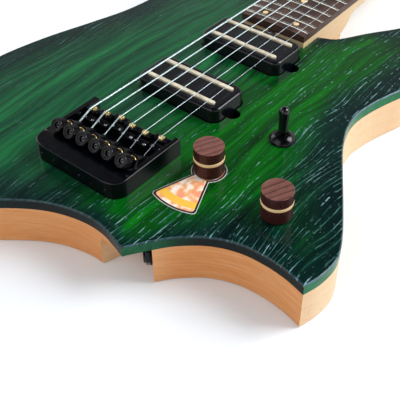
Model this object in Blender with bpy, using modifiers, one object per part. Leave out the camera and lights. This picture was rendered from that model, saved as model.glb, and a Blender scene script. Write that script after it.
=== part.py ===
"""Headless electric guitar, lying on its back, as an assembly of its separate pieces.

Metres. +Y runs along the strings to the head, +X is the treble side and +Z comes up out of the top.
The origin is on the centre line below the saddles, in the plane of the body's back.
"""

import math

import bmesh
import bpy
from mathutils import Matrix, Vector

MM = 0.001
GAP = 0.3 * MM  # air between two touching pieces

# Strings: treble is +X, so the first of each list is the bass string
SCALE = 648.0 * MM  # saddle line to nut
STRING_COUNT = 6
BRIDGE_PITCH = 10.8 * MM
NUT_PITCH = 7.0 * MM
STRING_RADII = [0.71 * MM, 0.535 * MM, 0.405 * MM, 0.305 * MM, 0.225 * MM, 0.165 * MM]
SADDLE_SETBACK = [-2.4 * MM, -1.6 * MM, 0.6 * MM, -1.2 * MM, -1.0 * MM, 1.8 * MM]
CAMBER_RADIUS = 400.0 * MM  # the strings and the fretboard arch across the neck
SADDLE_RISE = 14.9 * MM  # middle strings over the top at the saddles
BALL_RADIUS = 1.9 * MM
BALL_LENGTH = 3.6 * MM

# Body
BACK_THICK = 27.5 * MM
TOP_THICK = 7.2 * MM
RIM_RADIUS = 1.2 * MM  # rounding along the body's edges
POCKET_DEPTH = 16.0 * MM  # neck pocket below the top

# Neck and fretboard
FRET_COUNT = 24
BOARD_RISE = 10.2 * MM  # fretboard's crown over the top
BOARD_THICK = 6.0 * MM
BOARD_MARGIN = 3.4 * MM  # outer string to the board's edge
BOARD_OVERHANG = 6.0 * MM  # board past the last fret
FRET_WIDTH = 2.2 * MM
FRET_HEIGHT = 1.1 * MM
FRET_SINK = 0.6 * MM  # how deep a fret is let into the board
ACTION = 0.5 * MM  # strings over the frets at the nut
HEEL_LENGTH = 57.0 * MM
NECK_DEPTH_BODY = 16.0 * MM  # rounded back of the neck, under the board, near the body
NECK_DEPTH_NUT = 14.0 * MM
NUT_LENGTH = 4.5 * MM
HEAD_LENGTH = 34.0 * MM  # neck past the nut line
TRUSS_WIDTH = 6.0 * MM
TRUSS_DEPTH = 9.0 * MM
WHEEL_RADIUS = 5.5 * MM
WHEEL_LENGTH = 4.6 * MM
NECK_SCREW_X = 17.0 * MM
NECK_SCREW_ROWS = [14.0 * MM, 44.0 * MM]  # from the board's end
NECK_SCREW_RADIUS = 2.1 * MM
NECK_SCREW_HEAD_RADIUS = 4.6 * MM
NECK_SCREW_HEAD_HEIGHT = 2.6 * MM

# Headpiece
HEADPIECE_START = 7.5 * MM  # past the nut line
HEADPIECE_LENGTH = 25.0 * MM
HEADPIECE_WALL = 3.0 * MM
CLAMP_LENGTH = 14.0 * MM
CLAMP_HEIGHT = 5.5 * MM
CLAMP_SCREW_RADIUS = 2.4 * MM
CLAMP_SCREW_HEIGHT = 1.6 * MM

# Bridge
BRIDGE_FRONT = 8.0 * MM
BRIDGE_REAR = -48.9 * MM
BRIDGE_HEIGHT = 12.4 * MM
BRIDGE_WALL = 3.6 * MM
BRIDGE_SIDE_CLEAR = 0.4 * MM  # each outer saddle's share of the row to the side wall
BRIDGE_HALF_WIDTH = STRING_COUNT / 2 * BRIDGE_PITCH + BRIDGE_SIDE_CLEAR + BRIDGE_WALL
BRIDGE_FLOOR = 3.0 * MM
BRIDGE_THIN_FLOOR = 1.1 * MM  # under the pullers
BRIDGE_CORNER = 12.0 * MM
BRIDGE_EDGE = 0.9 * MM
SADDLE_GAP = 0.6 * MM  # between neighbouring saddles
SADDLE_FRONT = 3.6 * MM
SADDLE_TAIL = 7.2 * MM
SADDLE_TAIL_DROP = 5.2 * MM  # tail's top below the crest

# Tuners: each turns on an axis that leans up and back
TUNER_LEAN = math.radians(35.0)
TUNER_FACE_Y = -34.2 * MM
TUNER_FACE_RISE = 18.4 * MM
KNURL_RADIUS = 4.7 * MM
KNURL_LENGTH = 7.0 * MM
KNURL_BEVEL = 0.6 * MM
BEARING_WALL = 1.5 * MM
BEARING_RISE = 2.6 * MM  # bearing wall's top over the tuner's axis
BEARING_ROOT = 0.4 * MM  # how far the bearing wall is let into the base
ROD_RADIUS = 1.5 * MM
ROD_BORE = 1.85 * MM
ROD_TIP = 2.0 * MM  # rod's end below the knob's face
PULLER_RADIUS = 4.2 * MM
PULLER_HEAD = 2.3 * MM  # solid barrel behind the ball's pocket
PULLER_LIP = 1.2 * MM
PULLER_SLACK = 2.25 * MM  # travel that loosens the string
PULLER_PULL = 1.5 * MM  # travel that tightens it
PULLER_CLEAR = 0.4 * MM
LOCK_SCREW_RADIUS = 1.3 * MM
LOCK_SCREW_DEPTH = 2.5 * MM
LOCK_SCREW_RISE = 5.6 * MM

# Pickups
PICKUP_HALF_LENGTH = 34.5 * MM
PICKUP_HALF_WIDTH = 16.5 * MM
PICKUP_CORNER = 6.5 * MM
PICKUP_RISE = 10.3 * MM
PICKUP_SINK = 13.0 * MM  # housing below the top
PICKUP_BEVEL = 2.2 * MM
PICKUP_WALL = 2.0 * MM
BRIDGE_PICKUP_Y = 60.7 * MM
NECK_PICKUP_OFFSET = 27.0 * MM  # its centre to the board's end
BLADE_INSET = 6.85 * MM  # each blade's middle to the housing's side
BLADE_END_MARGIN = 5.5 * MM  # blades' ends to the housing's ends
BLADE_SPACING = 2 * (PICKUP_HALF_WIDTH - BLADE_INSET)
BLADE_THICK = 3.0 * MM
BLADE_HALF_LENGTH = PICKUP_HALF_LENGTH - BLADE_END_MARGIN
BLADE_RISE = 1.2 * MM
CORE_THICK = 3.0 * MM
EAR_LENGTH = 7.0 * MM
EAR_HALF_WIDTH = 4.5 * MM
EAR_THICK = 2.0 * MM
ROUT_CLEAR = 0.8 * MM
ROUT_DEPTH = 19.0 * MM
LEAD_BORE = 3.0 * MM

# Control knobs
VOLUME_X = 59.5 * MM
VOLUME_Y = 7.1 * MM
TONE_X = 112.7 * MM
TONE_Y = 1.4 * MM
KNOB_RADIUS = 9.4 * MM
KNOB_LIFT = 0.9 * MM  # knob's foot over the top
KNOB_HEIGHT = 18.6 * MM
KNOB_EDGE = 0.5 * MM
RING_RADIUS = 9.65 * MM
RING_HEIGHT = 2.3 * MM
RING_LIFT = 9.2 * MM  # ring over the knob's foot
RING_SEAT = 7.4 * MM
SHAFT_RADIUS = 3.0 * MM
SHAFT_IN_KNOB = 11.0 * MM
PULL_TRAVEL = 4.5 * MM
POT_RADIUS = 8.5 * MM
POT_HEIGHT = 8.0 * MM
POT_BUSH_RADIUS = 4.4 * MM
POT_NUT_RADIUS = 5.6 * MM
POT_NUT_HEIGHT = 1.6 * MM
PULL_BOX_HALF = 7.0 * MM
PULL_BOX_HEIGHT = 9.0 * MM
PLUNGER_HALF = 4.6 * MM
PLUNGER_HEIGHT = 4.0 * MM
SHAFT_CLEAR = 0.35 * MM

# Pickup selector
SWITCH_X = 76.7 * MM
SWITCH_Y = 59.2 * MM
SWITCH_PIVOT_DEPTH = 1.5 * MM  # pivot below the top
LEVER_RADIUS = 3.4 * MM
LEVER_STEM_RADIUS = 1.5 * MM
LEVER_FOOT_RISE = 6.2 * MM
LEVER_TIP_RISE = 25.0 * MM
LEVER_THROW = math.radians(12.0)
COLLAR_RADIUS = 8.6 * MM
COLLAR_HEIGHT = 2.6 * MM  # of the bush inside it
COLLAR_NECK_RADIUS = 4.9 * MM
COLLAR_NECK_HEIGHT = 2.2 * MM  # collar over the bush
SWITCH_BUSH_RADIUS = 5.2 * MM
SWITCH_CASE = (16.0 * MM, 22.0 * MM, 15.0 * MM)

# Card beside the volume knob
CARD_RADIUS = 38.8 * MM
CARD_HEAD_RADIUS = 10.9 * MM  # its round end, under the knob
CARD_SIDE_ANGLE = math.radians(20.5)
CARD_SIDE_OFFSET = 2.7 * MM  # how far its straight sides pass the knob's axis
CARD_TURN = math.radians(2.5)
CARD_CORNER = 1.8 * MM
CARD_THICK = 0.3 * MM

# Output jack
JACK_X = 65.0 * MM
JACK_Y = -52.3 * MM
JACK_RISE = 15.0 * MM  # over the back
JACK_RADIUS = 5.3 * MM
JACK_BORE = 3.3 * MM
JACK_LENGTH = 27.0 * MM
JACK_NUT_RADIUS = 6.2 * MM
JACK_NUT_LENGTH = 3.6 * MM
LEAD_RADIUS = 1.2 * MM

# Cover and strap buttons
COVER_THICK = 2.0 * MM
COVER_LIP = 5.0 * MM
COVER_CLEAR = 0.5 * MM
BUTTON_RADIUS = 7.0 * MM
BUTTON_LENGTH = 11.0 * MM
BUTTON_SCREW_LENGTH = 22.0 * MM
BUTTON_SCREW_RADIUS = 1.6 * MM
BUTTON_RISE = 14.0 * MM  # over the back

# Levels and stations that follow from the sizes above
GLUE_Z = BACK_THICK
TOP_UNDER_Z = GLUE_Z + GAP
TOP_Z = TOP_UNDER_Z + TOP_THICK
BOARD_TOP_Z = TOP_Z + BOARD_RISE
NECK_TOP_Z = BOARD_TOP_Z - BOARD_THICK - GAP
LAST_FRET_Y = SCALE * 2.0 ** (-FRET_COUNT / 12.0)
BOARD_END_Y = LAST_FRET_Y - BOARD_OVERHANG
HEEL_END_Y = BOARD_END_Y + HEEL_LENGTH
POCKET_Z = TOP_Z - POCKET_DEPTH
NUT_RISE = BOARD_RISE + FRET_HEIGHT + ACTION  # undersides of the strings at the nut, over the top
NECK_PICKUP_Y = BOARD_END_Y - NECK_PICKUP_OFFSET
COVER_Z = 0.3 * MM
COVER_TOP_Z = COVER_Z + COVER_THICK
FAR = 60.0 * MM  # how far a cutter runs past what it cuts

GREEN = ("stained_ash", (0.01, 0.16, 0.03), 0.22, 0.0)
ALDER = ("alder", (0.78, 0.48, 0.25), 0.45, 0.0)
MAPLE = ("maple", (0.80, 0.60, 0.36), 0.40, 0.0)
ROSEWOOD = ("rosewood", (0.16, 0.07, 0.05), 0.45, 0.0)
BLACK_METAL = ("black_metal", (0.015, 0.015, 0.02), 0.28, 0.9)
BLACK_PLASTIC = ("black_plastic", (0.02, 0.02, 0.022), 0.35, 0.0)
STEEL = ("steel", (0.62, 0.62, 0.64), 0.25, 1.0)
BRASS = ("brass", (0.80, 0.58, 0.25), 0.28, 1.0)
CREAM_STEEL = ("pale_steel", (0.78, 0.74, 0.66), 0.35, 0.8)
CARD = ("card", (0.85, 0.45, 0.25), 0.55, 0.0)
BONE = ("bone", (0.06, 0.06, 0.06), 0.40, 0.0)

for old in list(bpy.data.objects):
    bpy.data.objects.remove(old, do_unlink=True)
PARTS = bpy.data.collections.new("headless_guitar")
CUTTERS = bpy.data.collections.new("cutters")
bpy.context.scene.collection.children.link(PARTS)
bpy.context.scene.collection.children.link(CUTTERS)


# Modelling helpers


def material(finish):
    name, colour, roughness, metallic = finish
    found = bpy.data.materials.get(name)
    if found:
        return found
    made = bpy.data.materials.new(name)
    made.use_nodes = True
    shader = made.node_tree.nodes["Principled BSDF"]
    shader.inputs["Base Color"].default_value = (*colour, 1.0)
    shader.inputs["Roughness"].default_value = roughness
    shader.inputs["Metallic"].default_value = metallic
    return made


def mesh_from(bm, name="shape"):
    """The bmesh as a mesh, faces out."""
    bmesh.ops.recalc_face_normals(bm, faces=bm.faces)
    mesh = bpy.data.meshes.new(name)
    bm.to_mesh(mesh)
    bm.free()
    return mesh


def evaluated(obj, weld=1e-6):
    """The object's evaluated mesh, its ends welded, and the object removed."""
    bpy.context.view_layer.update()
    graph = bpy.context.evaluated_depsgraph_get()
    mesh = bpy.data.meshes.new_from_object(obj.evaluated_get(graph))
    bm = bmesh.new()
    bm.from_mesh(mesh)
    bmesh.ops.remove_doubles(bm, verts=bm.verts, dist=weld)
    bpy.data.objects.remove(obj, do_unlink=True)
    return mesh_from(bm)


def part(name, mesh, finish, location=(0, 0, 0), rotation=(0, 0, 0), parent=None):
    """A named piece in the guitar's collection, shaded smooth between its sharp edges."""
    mesh.name = name
    mesh.shade_smooth()
    mesh.set_sharp_from_angle(angle=math.radians(35))
    mesh.materials.clear()
    mesh.materials.append(material(finish))
    obj = bpy.data.objects.new(name, mesh)
    PARTS.objects.link(obj)
    obj.location = location
    obj.rotation_euler = rotation
    obj.parent = parent
    return obj


def cutter(mesh, location=(0, 0, 0), rotation=(0, 0, 0), parent=None):
    """A guide that a Boolean uses and that is not part of the guitar."""
    obj = bpy.data.objects.new("cutter", mesh)
    CUTTERS.objects.link(obj)
    obj.location = location
    obj.rotation_euler = rotation
    obj.parent = parent
    obj.hide_render = True
    obj.display_type = "WIRE"
    return obj


def boolean(target, tool, operation):
    modifier = target.modifiers.new(operation.lower(), "BOOLEAN")
    modifier.object = tool
    modifier.operation = operation
    modifier.solver = "EXACT"


def cut(target, *tools):
    for tool in tools:
        boolean(target, tool, "DIFFERENCE")


def join(target, *tools):
    for tool in tools:
        boolean(target, tool, "UNION")


def block(low, high):
    """A box between two corners."""
    bm = bmesh.new()
    bmesh.ops.create_cube(bm, size=1.0)
    size = Vector(high) - Vector(low)
    middle = (Vector(high) + Vector(low)) / 2
    bmesh.ops.transform(bm, matrix=Matrix.Translation(middle) @ Matrix.Diagonal((*size, 1.0)), verts=bm.verts)
    return mesh_from(bm)


def rod(radius, z_low, z_high, segments=16, axis="Z"):
    """A round bar along the axis, between two stations on it."""
    bm = bmesh.new()
    bmesh.ops.create_cone(bm, cap_ends=True, segments=segments, radius1=radius, radius2=radius, depth=z_high - z_low)
    bmesh.ops.translate(bm, verts=bm.verts, vec=(0, 0, (z_low + z_high) / 2))
    turns = {"X": Matrix.Rotation(math.pi / 2, 4, "Y"), "Y": Matrix.Rotation(-math.pi / 2, 4, "X"), "Z": Matrix()}
    bmesh.ops.transform(bm, matrix=turns[axis], verts=bm.verts)
    return mesh_from(bm)


def turned(profile, segments=24, closed=False):
    """A profile of (radius, height), down its outer side, turned about Z."""
    mesh = bpy.data.meshes.new("profile")
    edges = [(i, i + 1) for i in range(len(profile) - 1)]
    if closed:
        edges.append((len(profile) - 1, 0))
    mesh.from_pydata([(r, 0.0, z) for r, z in profile], edges, [])
    obj = bpy.data.objects.new("profile", mesh)
    CUTTERS.objects.link(obj)
    screw = obj.modifiers.new("screw", "SCREW")
    screw.axis = "Z"
    screw.steps = segments
    screw.render_steps = segments
    screw.use_merge_vertices = True
    screw.merge_threshold = 1e-6
    return evaluated(obj)


def slab(outline, z_low, z_high):
    """A flat closed outline with thickness."""
    curve = bpy.data.curves.new("outline", "CURVE")
    curve.dimensions = "2D"
    curve.fill_mode = "BOTH"
    curve.extrude = (z_high - z_low) / 2
    spline = curve.splines.new("POLY")
    spline.points.add(len(outline) - 1)
    for point, (x, y) in zip(spline.points, outline):
        point.co = (x, y, 0.0, 1.0)
    spline.use_cyclic_u = True
    obj = bpy.data.objects.new("outline", curve)
    CUTTERS.objects.link(obj)
    mesh = evaluated(obj)
    bm = bmesh.new()
    bm.from_mesh(mesh)
    for side in (-1, 1):
        bmesh.ops.dissolve_faces(bm, faces=[f for f in bm.faces if f.normal.z * side > 0.9])
    bmesh.ops.translate(bm, verts=bm.verts, vec=(0, 0, (z_high + z_low) / 2))
    return mesh_from(bm)


def round_rim(mesh, z, width, segments=2):
    """Rounds the outer edge of a slab's face at this height."""
    bm = bmesh.new()
    bm.from_mesh(mesh)
    rim = [e for e in bm.edges if all(abs(v.co.z - z) < 1e-6 for v in e.verts)]
    bmesh.ops.bevel(bm, geom=rim, offset=width, segments=segments, profile=0.5, affect="EDGES")
    return mesh_from(bm)


def tube(points, radius, resolution=2):
    """A round wire through the points."""
    curve = bpy.data.curves.new("wire", "CURVE")
    curve.dimensions = "3D"
    curve.bevel_depth = radius
    curve.bevel_resolution = resolution
    curve.use_fill_caps = True
    spline = curve.splines.new("POLY")
    spline.points.add(len(points) - 1)
    for point, place in zip(spline.points, points):
        point.co = (*place, 1.0)
    obj = bpy.data.objects.new("wire", curve)
    CUTTERS.objects.link(obj)
    return evaluated(obj)


def loft(sections):
    """A closed skin over like-numbered sections, with flat ends."""
    bm = bmesh.new()
    rings = [[bm.verts.new(p) for p in section] for section in sections]
    for ring, after in zip(rings, rings[1:]):
        for i in range(len(ring)):
            j = (i + 1) % len(ring)
            bm.faces.new((ring[i], ring[j], after[j], after[i]))
    bm.faces.new(rings[0][::-1])
    bm.faces.new(rings[-1])
    return mesh_from(bm)


def spline_point(before, start, end, after, t):
    """A point between start and end on the smooth curve through all four."""
    return tuple(
        0.5 * (2 * b + (c - a) * t + (2 * a - 5 * b + 4 * c - d) * t**2 + (3 * b - a - 3 * c + d) * t**3)
        for a, b, c, d in zip(before, start, end, after)
    )


def smooth_run(points, steps=3):
    """A smooth open curve through the points, ends included."""
    ends = [points[0], *points, points[-1]]
    found = []
    for i in range(len(points) - 1):
        found += [spline_point(*ends[i : i + 4], t=k / steps) for k in range(steps)]
    return [*found, tuple(points[-1])]


def smooth_loop(points, steps=3):
    """A smooth closed curve through the points."""
    count = len(points)
    found = []
    for i in range(count):
        four = [points[(i + k - 1) % count] for k in range(4)]
        found += [spline_point(*four, t=k / steps) for k in range(steps)]
    return found


def in_mm(points):
    return [tuple(value * MM for value in point) for point in points]


def grown(outline, by):
    """The closed outline moved outwards along its normals."""
    count = len(outline)
    area = sum(outline[i][0] * outline[(i + 1) % count][1] - outline[(i + 1) % count][0] * outline[i][1] for i in range(count))
    sign = math.copysign(1.0, area)
    moved = []
    for i, (x, y) in enumerate(outline):
        x0, y0 = outline[i - 1]
        x1, y1 = outline[(i + 1) % count]
        along = Vector((x1 - x0, y1 - y0)).normalized()
        moved.append((x + along.y * by * sign, y - along.x * by * sign))
    return moved


def rounded_rectangle(half_x, half_y, radius, steps=4, centre=(0.0, 0.0)):
    points = []
    for corner in range(4):
        middle_x = (half_x - radius) * (1 if corner in (0, 3) else -1)
        middle_y = (half_y - radius) * (1 if corner in (0, 1) else -1)
        for k in range(steps + 1):
            angle = math.pi / 2 * (corner + k / steps)
            points.append((
                centre[0] + middle_x + radius * math.cos(angle),
                centre[1] + middle_y + radius * math.sin(angle),
            ))
    return points


# Lines that several pieces share


def string_x(index, y=0.0):
    """Where a string runs across the guitar at a station along it."""
    share = min(max(y / SCALE, 0.0), 1.0)
    pitch = BRIDGE_PITCH * (1 - share) + NUT_PITCH * share
    return (index - (STRING_COUNT - 1) / 2) * pitch


def camber(x):
    """How far the arch across the neck has dropped at this distance from the middle."""
    return x * x / (2 * CAMBER_RADIUS)


def saddle_z(index):
    """Height of a string's centre line where it leaves its saddle."""
    return TOP_Z + SADDLE_RISE - camber(string_x(index))


def nut_z(index):
    """Height of a string's centre line on the nut."""
    return TOP_Z + NUT_RISE + STRING_RADII[index] - camber(string_x(index, SCALE))


def board_half_width(y):
    outer = abs(string_x(0, y))
    return outer + BOARD_MARGIN


# Body


def body_outline():
    """The body's plan, corner to corner: tail scoop, leg rest, treble side and horn, heel, bass horn and side."""
    neck = BOARD_END_Y / MM
    heel = HEEL_END_Y / MM
    treble_x = board_half_width(HEEL_END_Y) / MM - 0.4
    tail_point, treble_point = (61.5, -72.2), (154.4, -32.8)
    tail_scoop = [(-62, -129), (-42, -107), (-20, -88), (0, -74.6), (20, -67.6), (40, -66.4), tail_point]
    leg_rest = [tail_point, (70, -60), (80, -47.6), (94, -36.4), (110, -30), (126, -28.4), (141, -29.6), treble_point]
    treble_side = [
        treble_point, (157.4, -22), (158.2, -10), (156, 0), (150, 12.5), (139, 31), (124, 55), (111, 76.5), (103, 95),
        (100.4, 110), (102, 126), (106, 142), (111.5, 160), (115.5, 180), (116, 200), (112, 222), (105, 240),
        (97, 249), (89, 249), (79, 239), (67, 221), (54, 203), (42, neck + 28), (33, neck + 22), (treble_x, neck + 20),
    ]
    bass_side = [
        (-treble_x, heel - 6), (-35, heel - 2), (-48, heel + 9), (-66, heel + 32), (-82, heel + 56), (-95, heel + 69),
        (-107, heel + 72), (-116, heel + 64), (-121, 256), (-122, 232), (-118, 204), (-112.5, 176), (-110, 148),
        (-113, 118), (-122, 86), (-133, 50), (-140, 14), (-141, -22), (-135, -58), (-121, -92), (-98, -119),
        (-76, -131), (-65, -132),
    ]
    heel_corners = [(treble_x, heel), (-treble_x, heel)]
    runs = [smooth_run(run) for run in (tail_scoop, leg_rest, treble_side, bass_side)]
    points = [*runs[0], *runs[1][1:], *runs[2][1:], *heel_corners, *runs[3]]
    return [(x * MM, y * MM) for x, y in points]


def cavity_outline():
    """The control cavity in the back, round both pots, the selector and the jack's end."""
    return smooth_loop(in_mm([
        (47, -14), (64, -21), (84, -32), (104, -22), (127, -14), (133, 3), (122, 22),
        (104, 42), (94, 62), (80, 75), (66, 70), (61, 50), (52, 26), (45, 5),
    ]))


def neck_plan(clear, y_low, y_high):
    """The neck's tapered plan with some clearance, between two stations."""
    low, high = board_half_width(y_low) + clear, board_half_width(y_high) + clear
    return [(low, y_low), (high, y_high), (-high, y_high), (-low, y_low)]


def pickup_outline(y, grow=0.0):
    return rounded_rectangle(PICKUP_HALF_LENGTH + grow, PICKUP_HALF_WIDTH + grow, PICKUP_CORNER, centre=(0.0, y))


def pickup_routs(z_low):
    """Cutters for both pickups and for the ears that hold them."""
    tools = []
    for y in (BRIDGE_PICKUP_Y, NECK_PICKUP_Y):
        tools.append(cutter(slab(pickup_outline(y, ROUT_CLEAR), z_low, TOP_Z + FAR)))
        ears = rounded_rectangle(PICKUP_HALF_LENGTH + EAR_LENGTH, EAR_HALF_WIDTH + ROUT_CLEAR, EAR_HALF_WIDTH, centre=(0.0, y))
        tools.append(cutter(slab(ears, z_low, TOP_Z + FAR)))
    return tools


def jack_frame():
    """The jack's place and turn: local +Z points out of the jack's face."""
    return (JACK_X, JACK_Y, JACK_RISE), (math.radians(90), 0.0, math.radians(-45.0))


def jack_notch():
    """Hollow scoop under the tail point, upright where the jack sits and with room for a plug."""
    deep = in_mm([(37.4, -95), (37.4, -66.4), (42.5, -50), (49.5, -36.5), (71.2, -58.2), (71.2, -95)])
    high = in_mm([(36.8, -95), (36.8, -67.0), (60.4, -71.9), (55.6, -42.6), (71.2, -58.2), (71.2, -95)])
    sections = []
    for share in (-0.1, 0.35, 0.62, 0.82, 1.05):
        z = GLUE_Z * share
        lean = max(share, 0.0) ** 3
        sections.append([(x0 + (x1 - x0) * lean, y0 + (y1 - y0) * lean, z) for (x0, y0), (x1, y1) in zip(deep, high)])
    return cutter(loft(sections))


def body_back():
    mesh = round_rim(slab(OUTLINE, 0.0, GLUE_Z), 0.0, RIM_RADIUS)
    back = part("body_back", mesh, ALDER)
    cut(back, cutter(slab(neck_plan(GAP, BOARD_END_Y - GAP, HEEL_END_Y + FAR), POCKET_Z, TOP_Z + FAR)))
    cut(back, *pickup_routs(TOP_Z - ROUT_DEPTH))
    cut(back, cutter(slab(cavity_outline(), -FAR, TOP_Z)))
    cut(back, cutter(slab(grown(cavity_outline(), COVER_LIP + COVER_CLEAR), -FAR, COVER_TOP_Z + GAP)))
    cut(back, jack_notch())
    place, turn = jack_frame()
    cut(back, cutter(rod(JACK_RADIUS + GAP, -JACK_LENGTH - 4 * MM, 8 * MM), place, turn))
    for x, y in neck_screw_places():
        cut(back, cutter(rod(NECK_SCREW_RADIUS + GAP, -FAR, FAR), (x, y, 0)))
        recess = NECK_SCREW_HEAD_HEIGHT + 3 * GAP
        cut(back, cutter(rod(NECK_SCREW_HEAD_RADIUS + GAP, -FAR, recess), (x, y, 0)))
    for frame in button_frames():
        cut(back, cutter(rod(BUTTON_SCREW_RADIUS + GAP, -BUTTON_SCREW_LENGTH - 1 * MM, 8 * MM, 12), *frame))
    lead_z = TOP_Z - ROUT_DEPTH + 4 * MM
    between = rod(LEAD_BORE, BRIDGE_PICKUP_Y, NECK_PICKUP_Y, 12, "Y")
    cut(back, cutter(between, (PICKUP_HALF_LENGTH - 12 * MM, 0, lead_z)))
    to_cavity = rod(LEAD_BORE, PICKUP_HALF_LENGTH - 8 * MM, PICKUP_HALF_LENGTH + 32 * MM, 12, "X")
    cut(back, cutter(to_cavity, (0, BRIDGE_PICKUP_Y, lead_z)))
    return back


def body_top():
    mesh = round_rim(slab(OUTLINE, TOP_UNDER_Z, TOP_Z), TOP_Z, RIM_RADIUS)
    top = part("body_top", mesh, GREEN)
    cut(top, cutter(slab(neck_plan(GAP + 0.3 * MM, BOARD_END_Y - GAP, HEEL_END_Y + FAR), 0.0, TOP_Z + FAR)))
    cut(top, *pickup_routs(0.0))
    half = WHEEL_RADIUS + 1.2 * MM
    low_z = wheel_z() - half
    wheel_well = block((-half, BOARD_END_Y - WHEEL_LENGTH - 2 * MM, low_z), (half, BOARD_END_Y + 1 * MM, TOP_Z + FAR))
    cut(top, cutter(wheel_well))
    for x, y, radius in (
        (VOLUME_X, VOLUME_Y, POT_BUSH_RADIUS),
        (TONE_X, TONE_Y, POT_BUSH_RADIUS),
        (SWITCH_X, SWITCH_Y, SWITCH_BUSH_RADIUS),
    ):
        cut(top, cutter(rod(radius + GAP, -FAR, FAR, 20), (x, y, TOP_Z)))
    return top


def control_cover():
    outline = grown(cavity_outline(), COVER_LIP)
    return part("control_cover", slab(outline, COVER_Z, COVER_TOP_Z), BLACK_PLASTIC)


def button_frames():
    """Seats of the two strap buttons: a place on the body's side, and local +Z straight out of it."""
    count = len(OUTLINE)
    horn = (-109 * MM, HEEL_END_Y + 72 * MM)
    tail = (-121 * MM, -92 * MM)
    frames = []
    for wanted in (horn, tail):
        nearest = min(range(count), key=lambda i: math.dist(OUTLINE[i], wanted))
        x0, y0 = OUTLINE[nearest]
        x1, y1 = OUTLINE[(nearest + 1) % count]
        heading = math.atan2(x0 - x1, y1 - y0)
        place = ((x0 + x1) / 2, (y0 + y1) / 2, BUTTON_RISE)
        frames.append((place, (math.pi / 2, 0.0, heading + math.pi / 2)))
    return frames


def strap_buttons():
    """Each with its screw, which goes into the wood."""
    seat, top = GAP, BUTTON_LENGTH
    profile = [
        (0.0, top), (BUTTON_RADIUS * 0.6, top), (BUTTON_RADIUS, top - 1.4 * MM), (BUTTON_RADIUS, top - 2.8 * MM),
        (BUTTON_RADIUS * 0.5, top - 5.5 * MM), (BUTTON_RADIUS * 0.5, seat + 2.5 * MM), (BUTTON_RADIUS * 0.75, seat + 0.8 * MM),
        (BUTTON_RADIUS * 0.75, seat), (BUTTON_SCREW_RADIUS, seat), (BUTTON_SCREW_RADIUS, -BUTTON_SCREW_LENGTH + 2 * MM),
        (0.0, -BUTTON_SCREW_LENGTH),
    ]
    for name, (place, turn) in zip(("strap_button_horn", "strap_button_tail"), button_frames()):
        part(name, turned(profile, 16), BLACK_METAL, place, turn)


# Neck


def neck_section(y, half_width, depth, fullness, count=14):
    """Across the neck at one station: flat on top, and rounded below, the fuller the squarer."""
    top = NECK_TOP_Z
    points = []
    for k in range(count + 1):
        angle = math.pi * k / count
        reach = abs(math.cos(angle)) ** (2 / fullness)
        drop = abs(math.sin(angle)) ** (2 / fullness)
        points.append((math.copysign(half_width * reach, math.cos(angle)), y, top - depth * drop))
    return points


def neck():
    heel_depth = NECK_TOP_Z - POCKET_Z - GAP
    rise = 24 * MM  # the heel turns into the rounded neck over this length
    end = SCALE + HEAD_LENGTH
    sections = []
    for k, (depth, fullness) in enumerate(((heel_depth, 30.0), (heel_depth, 30.0))):
        y = (BOARD_END_Y, HEEL_END_Y)[k]
        sections.append(neck_section(y, board_half_width(y), depth, fullness))
    for share, fullness in ((0.25, 12.0), (0.5, 5.5), (0.75, 3.2), (1.0, 2.6)):
        y = HEEL_END_Y + rise * share
        eased = share * share * (3 - 2 * share)
        depth = heel_depth + (NECK_DEPTH_BODY - heel_depth) * eased
        sections.append(neck_section(y, board_half_width(y), depth, fullness))
    sections.append(neck_section(SCALE - 10 * MM, board_half_width(SCALE), NECK_DEPTH_NUT, 2.5))
    sections.append(neck_section(SCALE + 4 * MM, board_half_width(SCALE), NECK_DEPTH_NUT, 3.5))
    sections.append(neck_section(end, board_half_width(SCALE), NECK_DEPTH_NUT, 4.0))
    obj = part("neck", loft(sections), MAPLE)
    half = TRUSS_WIDTH / 2
    channel = block((-half, BOARD_END_Y - FAR, NECK_TOP_Z - TRUSS_DEPTH), (half, SCALE - 8 * MM, NECK_TOP_Z + FAR))
    cut(obj, cutter(channel))
    for x, y in neck_screw_places():
        cut(obj, cutter(rod(NECK_SCREW_RADIUS + GAP, -FAR, neck_screw_top() + 1 * MM), (x, y, 0)))
    return obj


def fret_y(number):
    return SCALE * 2.0 ** (-number / 12.0)


def fretboard():
    """Tapered and arched, with its frets."""
    count = 4
    sections = []
    for y in (BOARD_END_Y, SCALE - GAP):
        half = board_half_width(y)
        across = [half * (1 - 2 * k / count) for k in range(count + 1)]
        ring = [(x, y, BOARD_TOP_Z - camber(x)) for x in across]
        ring += [(-half, y, NECK_TOP_Z + GAP), (half, y, NECK_TOP_Z + GAP)]
        sections.append(ring)
    board = part("fretboard", loft(sections), ROSEWOOD)
    join(board, cutter(frets()))
    return board


def frets():
    """All the frets as one set of crowned bars across the board."""
    count = 4
    shape = [(-0.5, 0.0), (-0.2, 1.0), (0.2, 1.0), (0.5, 0.0)]
    bm = bmesh.new()
    for number in range(0, FRET_COUNT + 1):
        middle = fret_y(number) - (FRET_WIDTH if number == 0 else 0.0)
        half = board_half_width(middle) - 0.25 * MM
        rings = []
        for k in range(count + 1):
            x = half * (1 - 2 * k / count)
            crown = BOARD_TOP_Z - camber(x)
            ring = [bm.verts.new((x, middle + w * FRET_WIDTH, crown + h * FRET_HEIGHT)) for w, h in shape]
            ring.append(bm.verts.new((x, middle + 0.5 * FRET_WIDTH, crown - FRET_SINK)))
            ring.append(bm.verts.new((x, middle - 0.5 * FRET_WIDTH, crown - FRET_SINK)))
            rings.append(ring)
        for ring, after in zip(rings, rings[1:]):
            for i in range(len(ring)):
                j = (i + 1) % len(ring)
                bm.faces.new((ring[i], ring[j], after[j], after[i]))
        bm.faces.new(rings[0][::-1])
        bm.faces.new(rings[-1])
    return mesh_from(bm)


def wheel_z():
    return NECK_TOP_Z - 4.6 * MM


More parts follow.
